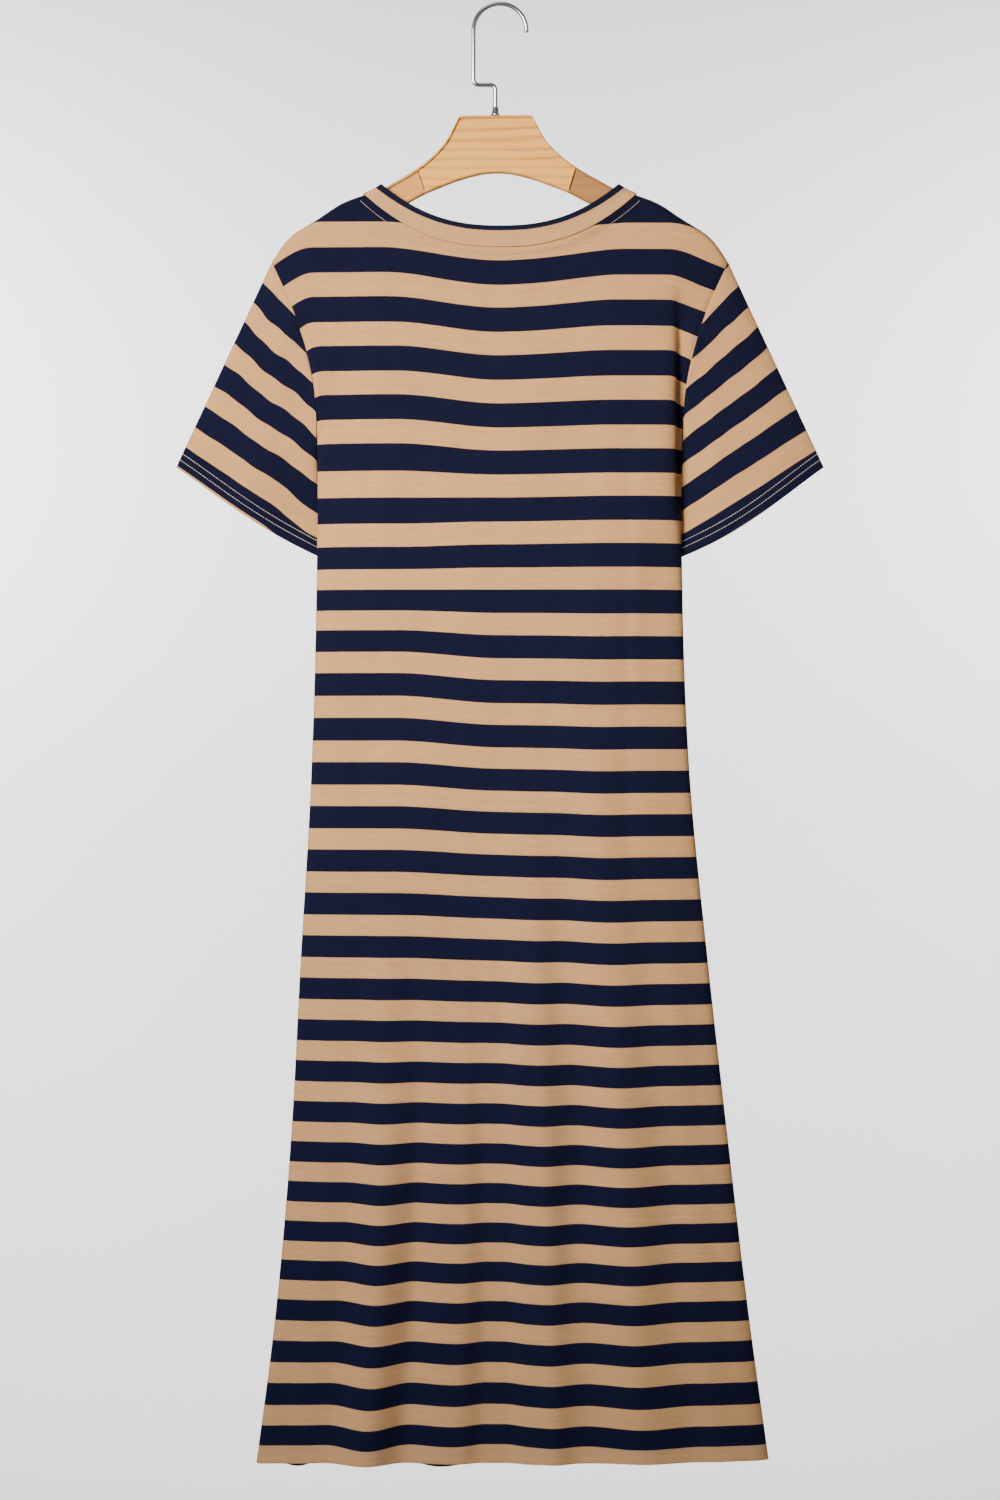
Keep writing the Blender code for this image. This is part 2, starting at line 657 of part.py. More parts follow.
def main():
    """Build the dress and its hanger."""
    for obj in list(bpy.data.objects):
        bpy.data.objects.remove(obj)
    parts = bpy.data.collections.new("t_shirt_dress")
    cutters = bpy.data.collections.new("cutters")
    bpy.context.scene.collection.children.link(parts)
    bpy.context.scene.collection.children.link(cutters)
    make_dress(parts)
    make_hanger(parts, cutters)
    make_hook(parts)
    make_ferrule(parts)


main()
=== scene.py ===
"""Looks of a striped t-shirt dress that hangs from a flat wooden hanger.

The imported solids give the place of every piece. The cloth is worked out again here from
the same sizes with finer steps, seams, creases, a striped jersey finish and sewing. All
sizes are in millimetres until a mesh is made, and a drop is measured down from the
inside top of the hook, so z = -drop.
"""
import logging
import math
from dataclasses import dataclass
from enum import Enum
from typing import NamedTuple, Optional, Sequence, Union

import bpy
import numpy as np
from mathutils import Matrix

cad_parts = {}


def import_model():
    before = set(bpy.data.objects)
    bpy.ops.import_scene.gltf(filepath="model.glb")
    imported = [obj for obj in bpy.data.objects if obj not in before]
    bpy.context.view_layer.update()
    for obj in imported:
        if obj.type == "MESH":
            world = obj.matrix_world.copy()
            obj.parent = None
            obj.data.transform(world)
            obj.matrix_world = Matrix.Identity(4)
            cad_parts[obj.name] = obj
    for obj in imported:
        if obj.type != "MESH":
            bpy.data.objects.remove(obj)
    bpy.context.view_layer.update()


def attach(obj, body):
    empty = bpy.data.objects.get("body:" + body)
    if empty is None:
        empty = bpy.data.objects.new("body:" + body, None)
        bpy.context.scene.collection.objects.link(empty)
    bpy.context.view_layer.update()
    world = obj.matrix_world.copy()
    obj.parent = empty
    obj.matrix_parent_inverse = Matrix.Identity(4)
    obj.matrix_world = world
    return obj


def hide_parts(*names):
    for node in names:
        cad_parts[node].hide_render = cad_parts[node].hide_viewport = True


LOG = logging.getLogger("dress")
MM = 0.001
Array = np.ndarray
Socket = bpy.types.NodeSocket
Value = Union[float, tuple, Socket]
EDGE_ROUNDING = 1.2
MERGE_DECIMALS = 4


class Face(Enum):
    """The two halves of the dress; the value is the sign of y on the outer side."""

    BACK = -1
    FRONT = 1


class Side(Enum):
    """The two sides of the dress, by the sign of x."""

    LEFT = -1
    RIGHT = 1


class Section(NamedTuple):
    """One level of the body, in millimetres."""

    drop: float
    half_width: float
    centre: float
    back: float
    front: float
    back_square: float
    front_square: float


class Fold(NamedTuple):
    """A soft ridge that grows towards the hem; places are shares of the panel."""

    place: float
    half_width: float
    depth: float
    start: float
    full: float


class Crease(NamedTuple):
    """A narrow crease from one place on a panel to another; depth is outwards."""

    across_start: float
    down_start: float
    across_end: float
    down_end: float
    half_width: float
    depth: float


class StripeLevel(NamedTuple):
    """Where stripe number n starts at the middle, and how far each side lies lower."""

    drop: float
    number: float
    left_lower: float
    right_lower: float


class Window(NamedTuple):
    """A stretch that eases in from its start and out again before its end."""

    start: float
    grow: float
    end: float
    fall: float

    def at(self, place: Array) -> Array:
        """Strength at a place, from 0 outside to 1 inside."""
        return ease_in_out((place - self.start) / self.grow) * ease_in_out(
            (self.end - place) / self.fall)


class Wave(NamedTuple):
    """A slanted sine wave, shifted by a phase that can differ from face to face."""

    height: float
    first: float
    second: float
    phase: float
    face_phase: float

    def at(self, first: Array, second: Array, face: Array) -> Array:
        """Height of the wave at a place of a face."""
        return self.height * np.sin(
            self.first * first + self.second * second + self.phase + self.face_phase * face)


class Lamp(NamedTuple):
    """A square soft light: places in metres, power in watts, beam in degrees."""

    name: str
    place: tuple[float, float, float]
    aim: tuple[float, float, float]
    size: float
    watts: float
    spread: float = 180.0
    color: tuple[float, float, float] = (1.0, 1.0, 1.0)


def smooth_table(at: Array, places: Sequence[float], values: Sequence[float]) -> Array:
    """Smooth curve through a table.

    Each step is a cubic whose end slopes are taken from the neighbouring points.

    Args:
        at: where to read the curve.
        places: rising positions of the table's rows.
        values: the value at each row.

    Returns:
        The curve's value at each place asked for.
    """
    places = np.asarray(places, float)
    values = np.asarray(values, float)
    slopes = np.gradient(values, places)
    low = np.clip(np.searchsorted(places, at) - 1, 0, len(places) - 2)
    step = places[low + 1] - places[low]
    t = np.clip((at - places[low]) / step, 0, 1)
    ease = t * t * (3 - 2 * t)
    bend_low = t * (1 - t) ** 2 * step * slopes[low]
    bend_high = t * t * (1 - t) * step * slopes[low + 1]
    return values[low] + ease * (values[low + 1] - values[low]) + bend_low - bend_high


def table_column(at: Array, rows: Sequence[Sequence[float]], column: int) -> Array:
    """Smooth curve through one column of a table whose first column gives the places."""
    table = np.array(rows)
    return smooth_table(at, table[:, 0], table[:, column])


def ease_in_out(t: Array) -> Array:
    """0 below 0, 1 above 1, and the cubic 3t^2 - 2t^3 between."""
    t = np.clip(t, 0, 1)
    return t * t * (3 - 2 * t)


def quarter_round(t: Array) -> Array:
    """Height of a quarter circle at share t of its width."""
    return np.sqrt(1 - (1 - np.clip(t, 0, 1)) ** 2)


def bell(t: Array) -> Array:
    """Bell curve exp(-t^2)."""
    return np.exp(-np.square(t))


def linear(red: int, green: int, blue: int) -> tuple[float, float, float]:
    """Linear colour of a display colour.

    Args:
        red: from 0 to 255.
        green: from 0 to 255.
        blue: from 0 to 255.

    Returns:
        Red, green and blue from 0 to 1.
    """
    shares = np.array([red, green, blue]) / 255
    low, high = shares / 12.92, ((shares + 0.055) / 1.055) ** 2.4
    return tuple(float(v) for v in np.where(shares <= 0.04045, low, high))


def unit(vectors: Array) -> Array:
    """Vectors of length one in the same directions."""
    return vectors / np.maximum(np.linalg.norm(vectors, axis=-1, keepdims=True), 1e-9)


def grid_normals(points: Array, wrap: bool = False) -> Array:
    """Outward normals of a grid: the step down crossed with the step across.

    Args:
        points: rows by columns by 3.
        wrap: whether the last column joins the first.

    Returns:
        Unit normals in the same layout.
    """
    if wrap:
        padded = np.concatenate([points[:, -1:], points, points[:, :1]], axis=1)
        across = (padded[:, 2:] - padded[:, :-2]) / 2
    else:
        across = np.gradient(points, axis=1)
    return unit(np.cross(np.gradient(points, axis=0), across))


class Mesh:
    """Faces gathered from grids, with a pattern map, ready to become one object."""

    def __init__(self, name: str) -> None:
        """Start with nothing.

        Args:
            name: of the object that it will become.
        """
        self.name = name
        self.points: list[Array] = []
        self.faces: list[Array] = []
        self.pattern: list[Array] = []
        self.count = 0

    def add(self, points: Array, faces: Array, pattern: Array) -> None:
        """Add points and faces.

        Args:
            points: in millimetres.
            faces: the point numbers of each face.
            pattern: the map place of each face corner.
        """
        self.points.append(points.reshape(-1, 3))
        self.faces.append(faces + self.count)
        self.pattern.append(pattern)
        self.count += len(self.points[-1])

    def add_grid(self, points: Array, pattern: Array, wrap: bool = False) -> None:
        """Add a grid of points as quads; the map of a wrapped one has one more column."""
        vertex, corner = grid_corners(*points.shape[:2], wrap)
        self.add(points, vertex, pattern.reshape(-1, 2)[corner])

    def add_tube(self, points: Array) -> None:
        """Add a closed tube: a grid of convex rings, and a strip of quads across each end.

        Args:
            points: rings by points by 3.
        """
        rings, count = points.shape[:2]
        self.add_grid(points, np.zeros((rings, count + 1, 2)), wrap=True)
        i = np.arange(count // 2 - 1)
        strip = np.stack([i, i + 1, count - 2 - i, count - 1 - i], -1)
        for faces in (strip - rings * count, strip[:, ::-1] - count):
            self.add(np.zeros((0, 3)), faces, np.zeros((len(i), 4, 2)))

    def build(self, material: bpy.types.Material, slot: str, smooth_angle: float,
              solid: Optional[str] = None) -> bpy.types.Object:
        """Make the object, in metres, and let it ride on the part's one body.

        Args:
            material: its finish.
            slot: the record's material slot; not used.
            smooth_angle: edges sharper than this stay sharp, in degrees.
            solid: the solid that it stands for, if any.

        Returns:
            The new object at the origin.
        """
        points = np.round(np.concatenate(self.points), MERGE_DECIMALS)
        points, merged = np.unique(points, axis=0, return_inverse=True)
        points, faces = points * MM, merged.ravel()[np.concatenate(self.faces)]
        mesh = bpy.data.meshes.new(self.name)
        mesh.vertices.add(len(points))
        mesh.vertices.foreach_set("co", points.ravel())
        mesh.loops.add(faces.size)
        mesh.loops.foreach_set("vertex_index", faces.ravel().astype(np.int32))
        mesh.polygons.add(len(faces))
        starts = np.arange(len(faces), dtype=np.int32) * faces.shape[1]
        mesh.polygons.foreach_set("loop_start", starts)
        mesh.update(calc_edges=True)
        layer = mesh.uv_layers.new(name="UVMap")
        layer.data.foreach_set("uv", (np.concatenate(self.pattern) * MM).ravel())
        mesh.validate()
        mesh.shade_smooth()
        mesh.set_sharp_from_angle(angle=math.radians(smooth_angle))
        mesh.materials.append(material)
        obj = bpy.data.objects.new(self.name, mesh)
        bpy.context.scene.collection.objects.link(obj)
        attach(obj, "root")
        if solid:
            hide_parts(solid)
        LOG.info("%s: %d faces", self.name, len(faces))
        return obj


def grid_corners(rows: int, columns: int, wrap: bool) -> tuple[Array, Array]:
    """Corner numbers of a grid's quads.

    Args:
        rows: number of rows of points.
        columns: number of columns of points.
        wrap: whether the last column joins the first.

    Returns:
        For each quad, its four point numbers and its four places in the pattern map.
    """
    steps = columns if wrap else columns - 1
    r, c = (a.ravel() for a in np.mgrid[:rows - 1, :steps])

    def corners(width: int, beside: Array) -> Array:
        """Numbers of each quad's four corners, where a row has width numbers."""
        high, low = r * width, (r + 1) * width
        return np.stack([high + c, low + c, low + beside, high + beside], -1)

    return corners(columns, (c + 1) % columns), corners(steps + 1, c + 1)


def add_shell(mesh: Mesh, outer: Array, inner: Array, pattern: Array, inside: Array,
              wrap: bool = False) -> None:
    """Add a thin closed wall between two grids.

    The outer grid faces out, the inner one faces in, and strips join their edges.

    Args:
        mesh: where it goes.
        outer: outer points.
        inner: inner points in the same layout.
        pattern: map places, with one more column if wrapped.
        inside: map places of the inner grid.
        wrap: whether the columns close to a ring.
    """
    rows, columns = outer.shape[:2]
    vertex, corner = grid_corners(rows, columns, wrap)
    faces = [vertex, vertex[:, ::-1] + rows * columns]
    places = [corner, corner[:, ::-1] + pattern[..., 0].size]

    def strip(row: Array, column: Array, next_row: Array, next_column: Array) -> None:
        """Join the two grids along an edge, from each point of it to the next.

        Args:
            row: row of each point.
            column: its column.
            next_row: row of the point after it.
            next_column: column of the point after it.
        """
        ends = ((row, column), (next_row, next_column))
        first, second = (r * columns + c % columns for r, c in ends)
        map_first, map_second = (r * pattern.shape[1] + c for r, c in ends)
        faces.append(np.stack([first, second, second + rows * columns, first + rows * columns], -1))
        places.append(np.stack([map_first, map_second, map_second, map_first], -1))

    c = np.arange(pattern.shape[1] - 1)
    strip(0, c, 0, c + 1)
    strip(rows - 1, c + 1, rows - 1, c)
    if not wrap:
        r = np.arange(rows - 1)
        strip(r + 1, 0 * r, r, 0 * r)
        strip(r, 0 * r + columns - 1, r + 1, 0 * r + columns - 1)
    points = np.concatenate([outer.reshape(-1, 3), inner.reshape(-1, 3)])
    maps = np.concatenate([pattern.reshape(-1, 2), inside.reshape(-1, 2)])
    mesh.add(points, np.concatenate(faces), maps[np.concatenate(places)])


# Form of the dress


@dataclass(frozen=True)
class PanelShape:
    """What differs between the back and the front."""

    face: Face
    neck_dip: float
    rim_dip: float
    folds: tuple[Fold, ...]
    creases: tuple[Crease, ...]

    @property
    def outward(self) -> int:
        """Sign of y on the outer side."""
        return self.face.value


BACK = PanelShape(
    Face.BACK, 51.0, 40.0,
    (Fold(-0.573, 0.17, 17.0, 0.52, 1.0), Fold(-0.243, 0.155, 8.0, 0.50, 1.0),
     Fold(0.137, 0.20, 11.0, 0.30, 0.85), Fold(0.50, 0.25, 10.0, 0.12, 0.9)),
    (Crease(0.73, 0.12, 0.60, 0.68, 5.0, -0.7), Crease(0.79, 0.10, 0.69, 0.62, 8.0, 0.8),
     Crease(-0.40, 0.62, -0.43, 1.02, 9.0, -1.6), Crease(-0.10, 0.66, -0.10, 1.02, 8.0, -1.0),
     Crease(0.32, 0.55, 0.33, 1.02, 10.0, -1.2)))
FRONT = PanelShape(
    Face.FRONT, 112.0, 99.0,
    (Fold(-0.66, 0.20, 13.0, 0.40, 1.0), Fold(-0.27, 0.18, 9.0, 0.50, 1.0),
     Fold(0.10, 0.19, 12.0, 0.34, 0.9), Fold(0.58, 0.24, 14.0, 0.22, 1.0)),
    (Crease(-0.70, 0.14, -0.58, 0.66, 6.0, -0.7), Crease(0.66, 0.15, 0.60, 0.70, 7.0, -0.8),
     Crease(-0.46, 0.60, -0.46, 1.02, 9.0, -1.3), Crease(-0.08, 0.64, -0.09, 1.02, 8.0, -1.1),
     Crease(0.33, 0.56, 0.33, 1.02, 10.0, -1.3)))


@dataclass(frozen=True)
class DressForm:
    """Sizes of the hanging dress in millimetres and the surfaces they give."""

    tip_x: float = 219.0
    tip_drop: float = 246.0
    neck_x: float = 130.0
    neck_drop: float = 181.5
    neck_depth: float = 14.0
    neck_power: float = 2.4
    neck_flatness: float = 0.14
    rim_x: float = 113.0
    rim_drop: float = 173.0
    rim_depth: float = 14.0
    underarm_drop: float = 415.0
    hem_drop: float = 1395.0
    hem_corner: float = 3.6
    front_hem_extra: float = 3.0
    hem_turn: float = 20.0
    hem_dips: tuple[Fold, ...] = (Fold(-0.27, 0.21, 11.3, 0, 1), Fold(-0.84, 0.11, 6.2, 0, 1))
    shoulder_roll: float = 5.0
    roll_share: float = 0.62
    softness: float = 1.6
    softness_reach: float = 8.0
    yoke_height: float = 3.5
    yoke_half_width: float = 150.0
    yoke_reach: float = 16.0
    top_softening: float = 24.0
    softening_steps: int = 7
    fill_drop: float = 120.0
    armhole_depth: float = 10.0
    right_set_back: float = 5.0
    seam_set_back: float = 8.0
    seam_window: Window = Window(335, 70, 570, 110)
    right_fullness: float = 16.0
    fullness_window: Window = Window(300, 60, 530, 90)
    turned_at: float = 167.5
    turned_width: float = 3.6
    turned_share: float = 0.75
    turned_foot_share: float = 0.13
    turned_foot: Window = Window(-7, 9, math.inf, 1)
    turned_window: Window = Window(255, 60, 510, 70)
    turned_growth: float = 0.4
    growth_window: Window = Window(330, 50, math.inf, 1)
    waves: tuple[Wave, ...] = (
        Wave(0.45, 9.1, 14, 0.0, 1.3), Wave(0.35, 15.7, -9, 0.7, 0.0),
        Wave(0.22, 27.0, 31, 0.0, 2.1), Wave(0.16, 6.0, -47, 0.0, 0.4))
    pleats: Wave = Wave(0.9, 38.0, 3.2, 0.0, 1.0)
    pleat_sway: float = 5.0
    pleat_growth: Fold = Fold(0.0, 9.0, 1.0, 0.25, 1.0)
    top_fade: float = 40.0
    side_fade: float = 25.0
    groove_depth: float = 1.3
    groove_width: float = 1.5
    ridge_height: float = 0.3
    ridge_place: float = 5.0
    ridge_width: float = 2.5
    cuff_outer: tuple[float, float] = (311.0, 443.0)
    cuff_inner: tuple[float, float] = (166.0, 532.0)
    cuff_depth: float = 6.5
    cuff_bow: tuple[float, float] = (5.0, 7.0)
    bow_direction: tuple[float, float] = (0.52, 0.85)
    bow_power: float = 1.25
    sleeve_tuck: float = 9.5
    tuck_start: float = 0.35
    tuck_end: float = 0.9
    underarm_clearance: float = 0.3
    sleeve_length: float = 200.0
    head_groove_depth: float = 0.9
    head_groove_width: float = 1.8
    head_ridge_place: float = 6.0
    head_ridge_width: float = 3.0
    puckers: Wave = Wave(0.7, 31, 0.0, 0.0, 1.0)
    drag: Wave = Wave(0.9, 9, 6.5, 0.0, 1.0)
    soft: Wave = Wave(0.6, 13, -4, 0.0, 2.0)
    sections: tuple[Section, ...] = (
        Section(246, 219.0, 0.0, 14, 13, 8, 8), Section(288, 200.0, 0.0, 15, 13, 8, 7),
        Section(332, 185.5, 0.0, 16, 13, 7, 5), Section(378, 177.0, 0.0, 17, 12, 6, 3),
        Section(415, 175.7, 0.0, 17, 12, 5, 2.5), Section(560, 175.7, -0.5, 17, 13, 4, 2.5),
        Section(743, 182.0, 0.5, 17, 16, 4, 4), Section(916, 195.5, 4.0, 17, 18, 4, 4),
        Section(1089, 210.0, 9.0, 17, 20, 4, 4), Section(1261, 228.0, 11.5, 17, 21, 4, 4),
        Section(1399, 246.5, 12.0, 17, 22, 4, 4))
    shoulder: tuple[tuple[float, float], ...] = (
        (130, 181.5), (152, 190), (175, 205), (188, 213), (200, 221), (207.5, 229),
        (213, 237), (219, 246))

    @property
    def length(self) -> float:
        """From the level of the shoulder tips to the hem."""
        return self.hem_drop - self.tip_drop

    @property
    def underarm(self) -> float:
        """Share of the length at which the armhole ends."""
        return (self.underarm_drop - self.tip_drop) / self.length

    def section(self, level: Array, column: str) -> Array:
        """One column of the section table at each level."""
        return table_column(level, self.sections, Section._fields.index(column))

    def ridges(self, folds: Sequence[Fold], across: Array, down: Array) -> Array:
        """Sum of the folds: squared cosines across the panel that grow downwards.

        Args:
            folds: the folds.
            across: places across.
            down: places down.

        Returns:
            Height in millimetres.
        """
        total = np.zeros(np.broadcast(across, down).shape)
        for fold in folds:
            q = np.clip((across - fold.place) / fold.half_width, -1, 1)
            growth = ease_in_out((down - fold.start) / (fold.full - fold.start))
            total = total + fold.depth * np.cos(q * math.pi / 2) ** 2 * growth
        return total

    def top_drop(self, panel: PanelShape, x: Array) -> Array:
        """Drop of the top edge: a power curve at the neck, the table at the shoulder.

        Args:
            panel: back or front.
            x: distance from the middle.

        Returns:
            The drop.
        """
        x = np.abs(x)
        share = np.clip(x / self.neck_x, 0, 1)
        neck = self.neck_drop + panel.neck_dip * (1 - share ** self.neck_power)
        return np.where(x < self.neck_x, neck, table_column(x, self.shoulder, 1))

    def hem_line(self, panel: PanelShape, across: Array) -> Array:
        """Drop of the hem, lower at the left corner, and lower and uneven on the front.

        Args:
            panel: back or front.
            across: places across.

        Returns:
            The drop.
        """
        hem = self.hem_drop + self.hem_corner * np.clip(-across, 0, 1) ** 4
        if panel.face is Face.FRONT:
            hem = hem + self.front_hem_extra * (1 - np.abs(across) ** 6)
            hem = hem + self.ridges(self.hem_dips, across, np.ones_like(across))
        return hem

    def armhole_edge(self, panel: PanelShape, across: Array, share: Array, drop: Array) -> Array:
        """Depth of the armhole and side seams: a flattened oval, set back on the right side.

        Args:
            panel: back or front.
            across: places across.
            share: 0 at the shoulder to 1 under the arm.
            drop: drop of each place.

        Returns:
            Depth on the panel's outer side.
        """
        oval = self.armhole_depth * np.sqrt(1 - np.abs(2 * share - 1) ** 4)
        back = self.right_set_back * np.sin(math.pi * share)
        back = back + self.seam_set_back * self.seam_window.at(drop)
        return oval + panel.outward * back * ease_in_out(across)

    def turned_in(self, x: Array, drop: Array) -> Array:
        """How far the right side of the back turns in behind a fold beside the sleeve.

        The step has a gentle foot, and grows deeper further down.

        Args:
            x: distance from the middle.
            drop: drop of each place.

        Returns:
            The share of the depth that is lost.
        """
        beyond = x - self.turned_at
        step = ease_in_out(beyond / self.turned_width)
        step = np.minimum(step + self.turned_foot_share * self.turned_foot.at(beyond), 1)
        deeper = 1 + self.turned_growth * self.growth_window.at(drop)
        return self.turned_share * step * self.turned_window.at(drop) * deeper

    def crease_height(self, panel: PanelShape, across: Array, down: Array,
                      half_width: Array) -> Array:
        """Sum of the creases: bell curves across a line, fading at both its ends.

        Args:
            panel: back or front.
            across: places across.
            down: places down.
            half_width: half the panel's width there.

        Returns:
            Height in millimetres.
        """
        total = np.zeros(np.broadcast(across, down).shape)
        for crease in panel.creases:
            t = (down - crease.down_start) / (crease.down_end - crease.down_start)
            line = crease.across_start + (crease.across_end - crease.across_start) * t
            fade = ease_in_out(t * 3) * ease_in_out((1 - t) * 3)
            away = (across - line) * half_width / crease.half_width
            total = total + crease.depth * bell(away) * fade
        return total

    def top_depth(self, top_x: Array, below: Array, full: Array, detail: bool) -> Array:
        """Depth near the top edge: the soft maximum of neck oval and shoulder roll.

        Args:
            top_x: distance from the middle, at the top edge.
            below: distance under the top edge.
            full: the panel's full depth.
            detail: whether it blends into a smooth yoke.

        Returns:
            Depth in millimetres.
        """
        neck = np.clip(1 - (top_x / self.neck_x) ** 2, 0, 1) ** self.neck_flatness
        neck = self.neck_depth * neck
        roll = full * self.roll_share * quarter_round(below / self.shoulder_roll)
        soften = self.softness * ease_in_out(below / self.softness_reach)
        start = 0.5 * (neck + roll + np.sqrt((neck - roll) ** 2 + soften ** 2))
        if not detail:
            return start
        middle = np.cos(np.clip(top_x / self.yoke_half_width, 0, 1) * math.pi / 2) ** 2
        yoke = full * self.roll_share + self.yoke_height * middle
        return start + (yoke - start) * ease_in_out(below / self.yoke_reach)

    def settled(self, panel: PanelShape, top_x: Array, drop: Array) -> Array:
        """Distance under a top edge that is softened to its mean over some steps aside.

        Args:
            panel: back or front.
            top_x: distance from the middle, at the top edge.
            drop: drop of each place.

        Returns:
            The distance, never less than zero.
        """
        steps = np.linspace(-1, 1, self.softening_steps) * self.top_softening
        softened = np.mean([self.top_drop(panel, top_x + step) for step in steps], axis=0)
        return np.clip(drop - softened, 0, None)

    def panel_points(self, panel: PanelShape, across: Array, down: Array,
                     detail: bool = True) -> Array:
        """Outer surface of a panel.

        Each level is a flattened half oval. It starts at the neck or shoulder edge,
        rolls over the shoulder on a quarter circle, fills out with an S curve, and
        carries the folds towards the hem. The finer part adds creases, an unevenness
        of a few waves, a groove along each sewn edge, and on the back a fold on the
        right, behind which the side turns in.

        Args:
            panel: back or front.
            across: -1 at the left side to 1 at the right side.
            down: 0 at the top edge to 1 at the hem.
            detail: whether the finer part is added.

        Returns:
            Points in millimetres.
        """
        top_x = self.tip_x * np.abs(across)
        top = self.top_drop(panel, top_x)
        drop = top + (self.hem_line(panel, across) - top) * down
        below = drop - top
        level = self.tip_drop + self.length * down
        half_width = self.section(level, "half_width")
        x = self.section(level, "centre") + half_width * across
        side = panel.face.name.lower()
        full, square = self.section(level, side), self.section(level, side + "_square")
        start = self.top_depth(top_x, below, full, detail)
        filled = self.settled(panel, top_x, drop) if detail else below
        middle = start + (full - start) * ease_in_out(filled / self.fill_drop)
        middle = middle + self.ridges(panel.folds, across, down)
        folded = detail and panel.face is Face.BACK
        if folded:
            right = ease_in_out(4 * across) * self.fullness_window.at(drop)
            square = square + self.right_fullness * right
        share = np.clip(down / self.underarm, 0, 1)
        profile = np.clip(1 - np.abs(across) ** square, 0, 1) ** (1 - 0.5 * ease_in_out(share))
        beside = (1 - profile) ** (1 + 2 * ease_in_out(3 * share - 2)) if detail else 1 - profile
        if folded:
            profile = profile * (1 - self.turned_in(x, drop))
        depth = self.armhole_edge(panel, across, share, drop) * beside + middle * profile
        if detail:
            depth = depth + self.panel_relief(panel, across, down, below, half_width)
        return np.stack([x, panel.outward * depth, -drop], axis=-1)

    def panel_relief(self, panel: PanelShape, across: Array, down: Array, below: Array,
                     half_width: Array) -> Array:
        """Small forms of a panel, in millimetres outwards.

        Args:
            panel: back or front.
            across: place across.
            down: place down.
            below: distance under the top edge.
            half_width: half the panel's width there.

        Returns:
            Creases and long waves that fade at the edges, less the seam grooves.
        """
        aside, sign = half_width * (1 - np.abs(across)), panel.outward
        fade = ease_in_out(below / self.top_fade) * ease_in_out(aside / self.side_fade)
        relief = sum(wave.at(across, down, sign) for wave in self.waves)
        pleats = self.pleats.at(across, np.sin(self.pleat_sway * across), sign)
        relief = relief + pleats * self.ridges((self.pleat_growth,), across, down)
        groove = np.maximum(bell(below / self.groove_width),
                            bell(aside / self.groove_width) * (down < self.underarm))
        ridge = np.maximum(bell((below - self.ridge_place) / self.ridge_width),
                           bell((aside - self.ridge_place) / self.ridge_width))
        creases = self.crease_height(panel, across, down, half_width) * ease_in_out(aside / 8)
        return fade * relief + creases - self.groove_depth * groove + self.ridge_height * ridge

    def sleeve_points(self, side: Side, turn: Array, t: Array, detail: bool = True) -> Array:
        """Outer surface of a sleeve: a loft from the armhole ring to the flattened cuff.

        The lower inner part first goes back and then inwards, so that it passes behind
        the body's side.

        Args:
            side: left or right.
            turn: way round, 0 at the shoulder, 1 under the arm, 2 at the shoulder again.
            t: 0 at the armhole to 1 at the cuff.
            detail: whether the finer part is added.

        Returns:
            Points in millimetres.
        """
        share = 1 - np.abs(1 - turn)
        face = np.where(turn < 1, -1.0, 1.0)
        back, front = (self.panel_points(shape, side.value * np.ones_like(share),
                                         share * self.underarm, False) for shape in (BACK, FRONT))
        ring = np.where(face[..., None] < 0, back, front)
        bow = self.cuff_bow[side is Side.RIGHT] * np.sin(math.pi * share ** self.bow_power)
        x, drop = (outer + (inner - outer) * share + part * bow for outer, inner, part
                   in zip(self.cuff_outer, self.cuff_inner, self.bow_direction))
        tuck = ease_in_out((share - self.tuck_start) / (self.tuck_end - self.tuck_start))
        y = self.sleeve_tuck * tuck
        y = y + face * self.cuff_depth * np.sqrt(1 - np.abs(2 * share - 1) ** 3)
        cuff = np.stack([side.value * x, y, -drop], axis=-1)
        lower = share ** 6
        late = t + lower * (t ** 1.5 - t)
        early = t + lower * (1 - (1 - t) ** 3 - t)
        points = ring + (cuff - ring) * np.stack([late, early, t], axis=-1)
        points[..., 0] += side.value * self.underarm_clearance * lower * (1 - t)
        if detail:
            points[..., 1] += face * self.sleeve_relief(side, share, face, t)
        return points

    def sleeve_relief(self, side: Side, share: Array, face: Array, t: Array) -> Array:
        """Small forms of a sleeve, outwards: puckers at its head, drag folds, a groove.

        Args:
            side: left or right.
            share: 0 at the outer fold to 1 at the inner fold.
            face: -1 behind and 1 in front.
            t: 0 at the armhole to 1 at the cuff.

        Returns:
            Height in millimetres, fading at the two folds.
        """
        fade = np.clip(4 * share * (1 - share), 0, 1) ** 0.7
        puckers = self.puckers.at(share, t, face) * np.exp(-t * 9)
        drag = self.drag.at(share, t, side.value + face) * (1 - t) * ease_in_out(t * 8)
        soft = self.soft.at(share, t, side.value) * ease_in_out(t * 3)
        along = t * self.sleeve_length
        seam = (self.ridge_height * bell((along - self.head_ridge_place) / self.head_ridge_width)
                - self.head_groove_depth * bell(along / self.head_groove_width))
        return fade * (puckers + drag + soft + seam)

    def locate(self, panel: PanelShape, x: Array, drop: Array) -> tuple[Array, Array]:
        """Find the place on a panel that lies at a distance across and a drop.

        The two equations are solved by repeated substitution.

        Args:
            panel: back or front.
            x: distance across, in millimetres.
            drop: drop, in millimetres.

        Returns:
            The places across and down.
        """
        across = x / self.tip_x
        for _ in range(12):
            top = self.top_drop(panel, self.tip_x * across)
            down = (drop - top) / (self.hem_line(panel, across) - top)
            level = self.tip_drop + self.length * down
            across = (x - self.section(level, "centre")) / self.section(level, "half_width")
        return across, down

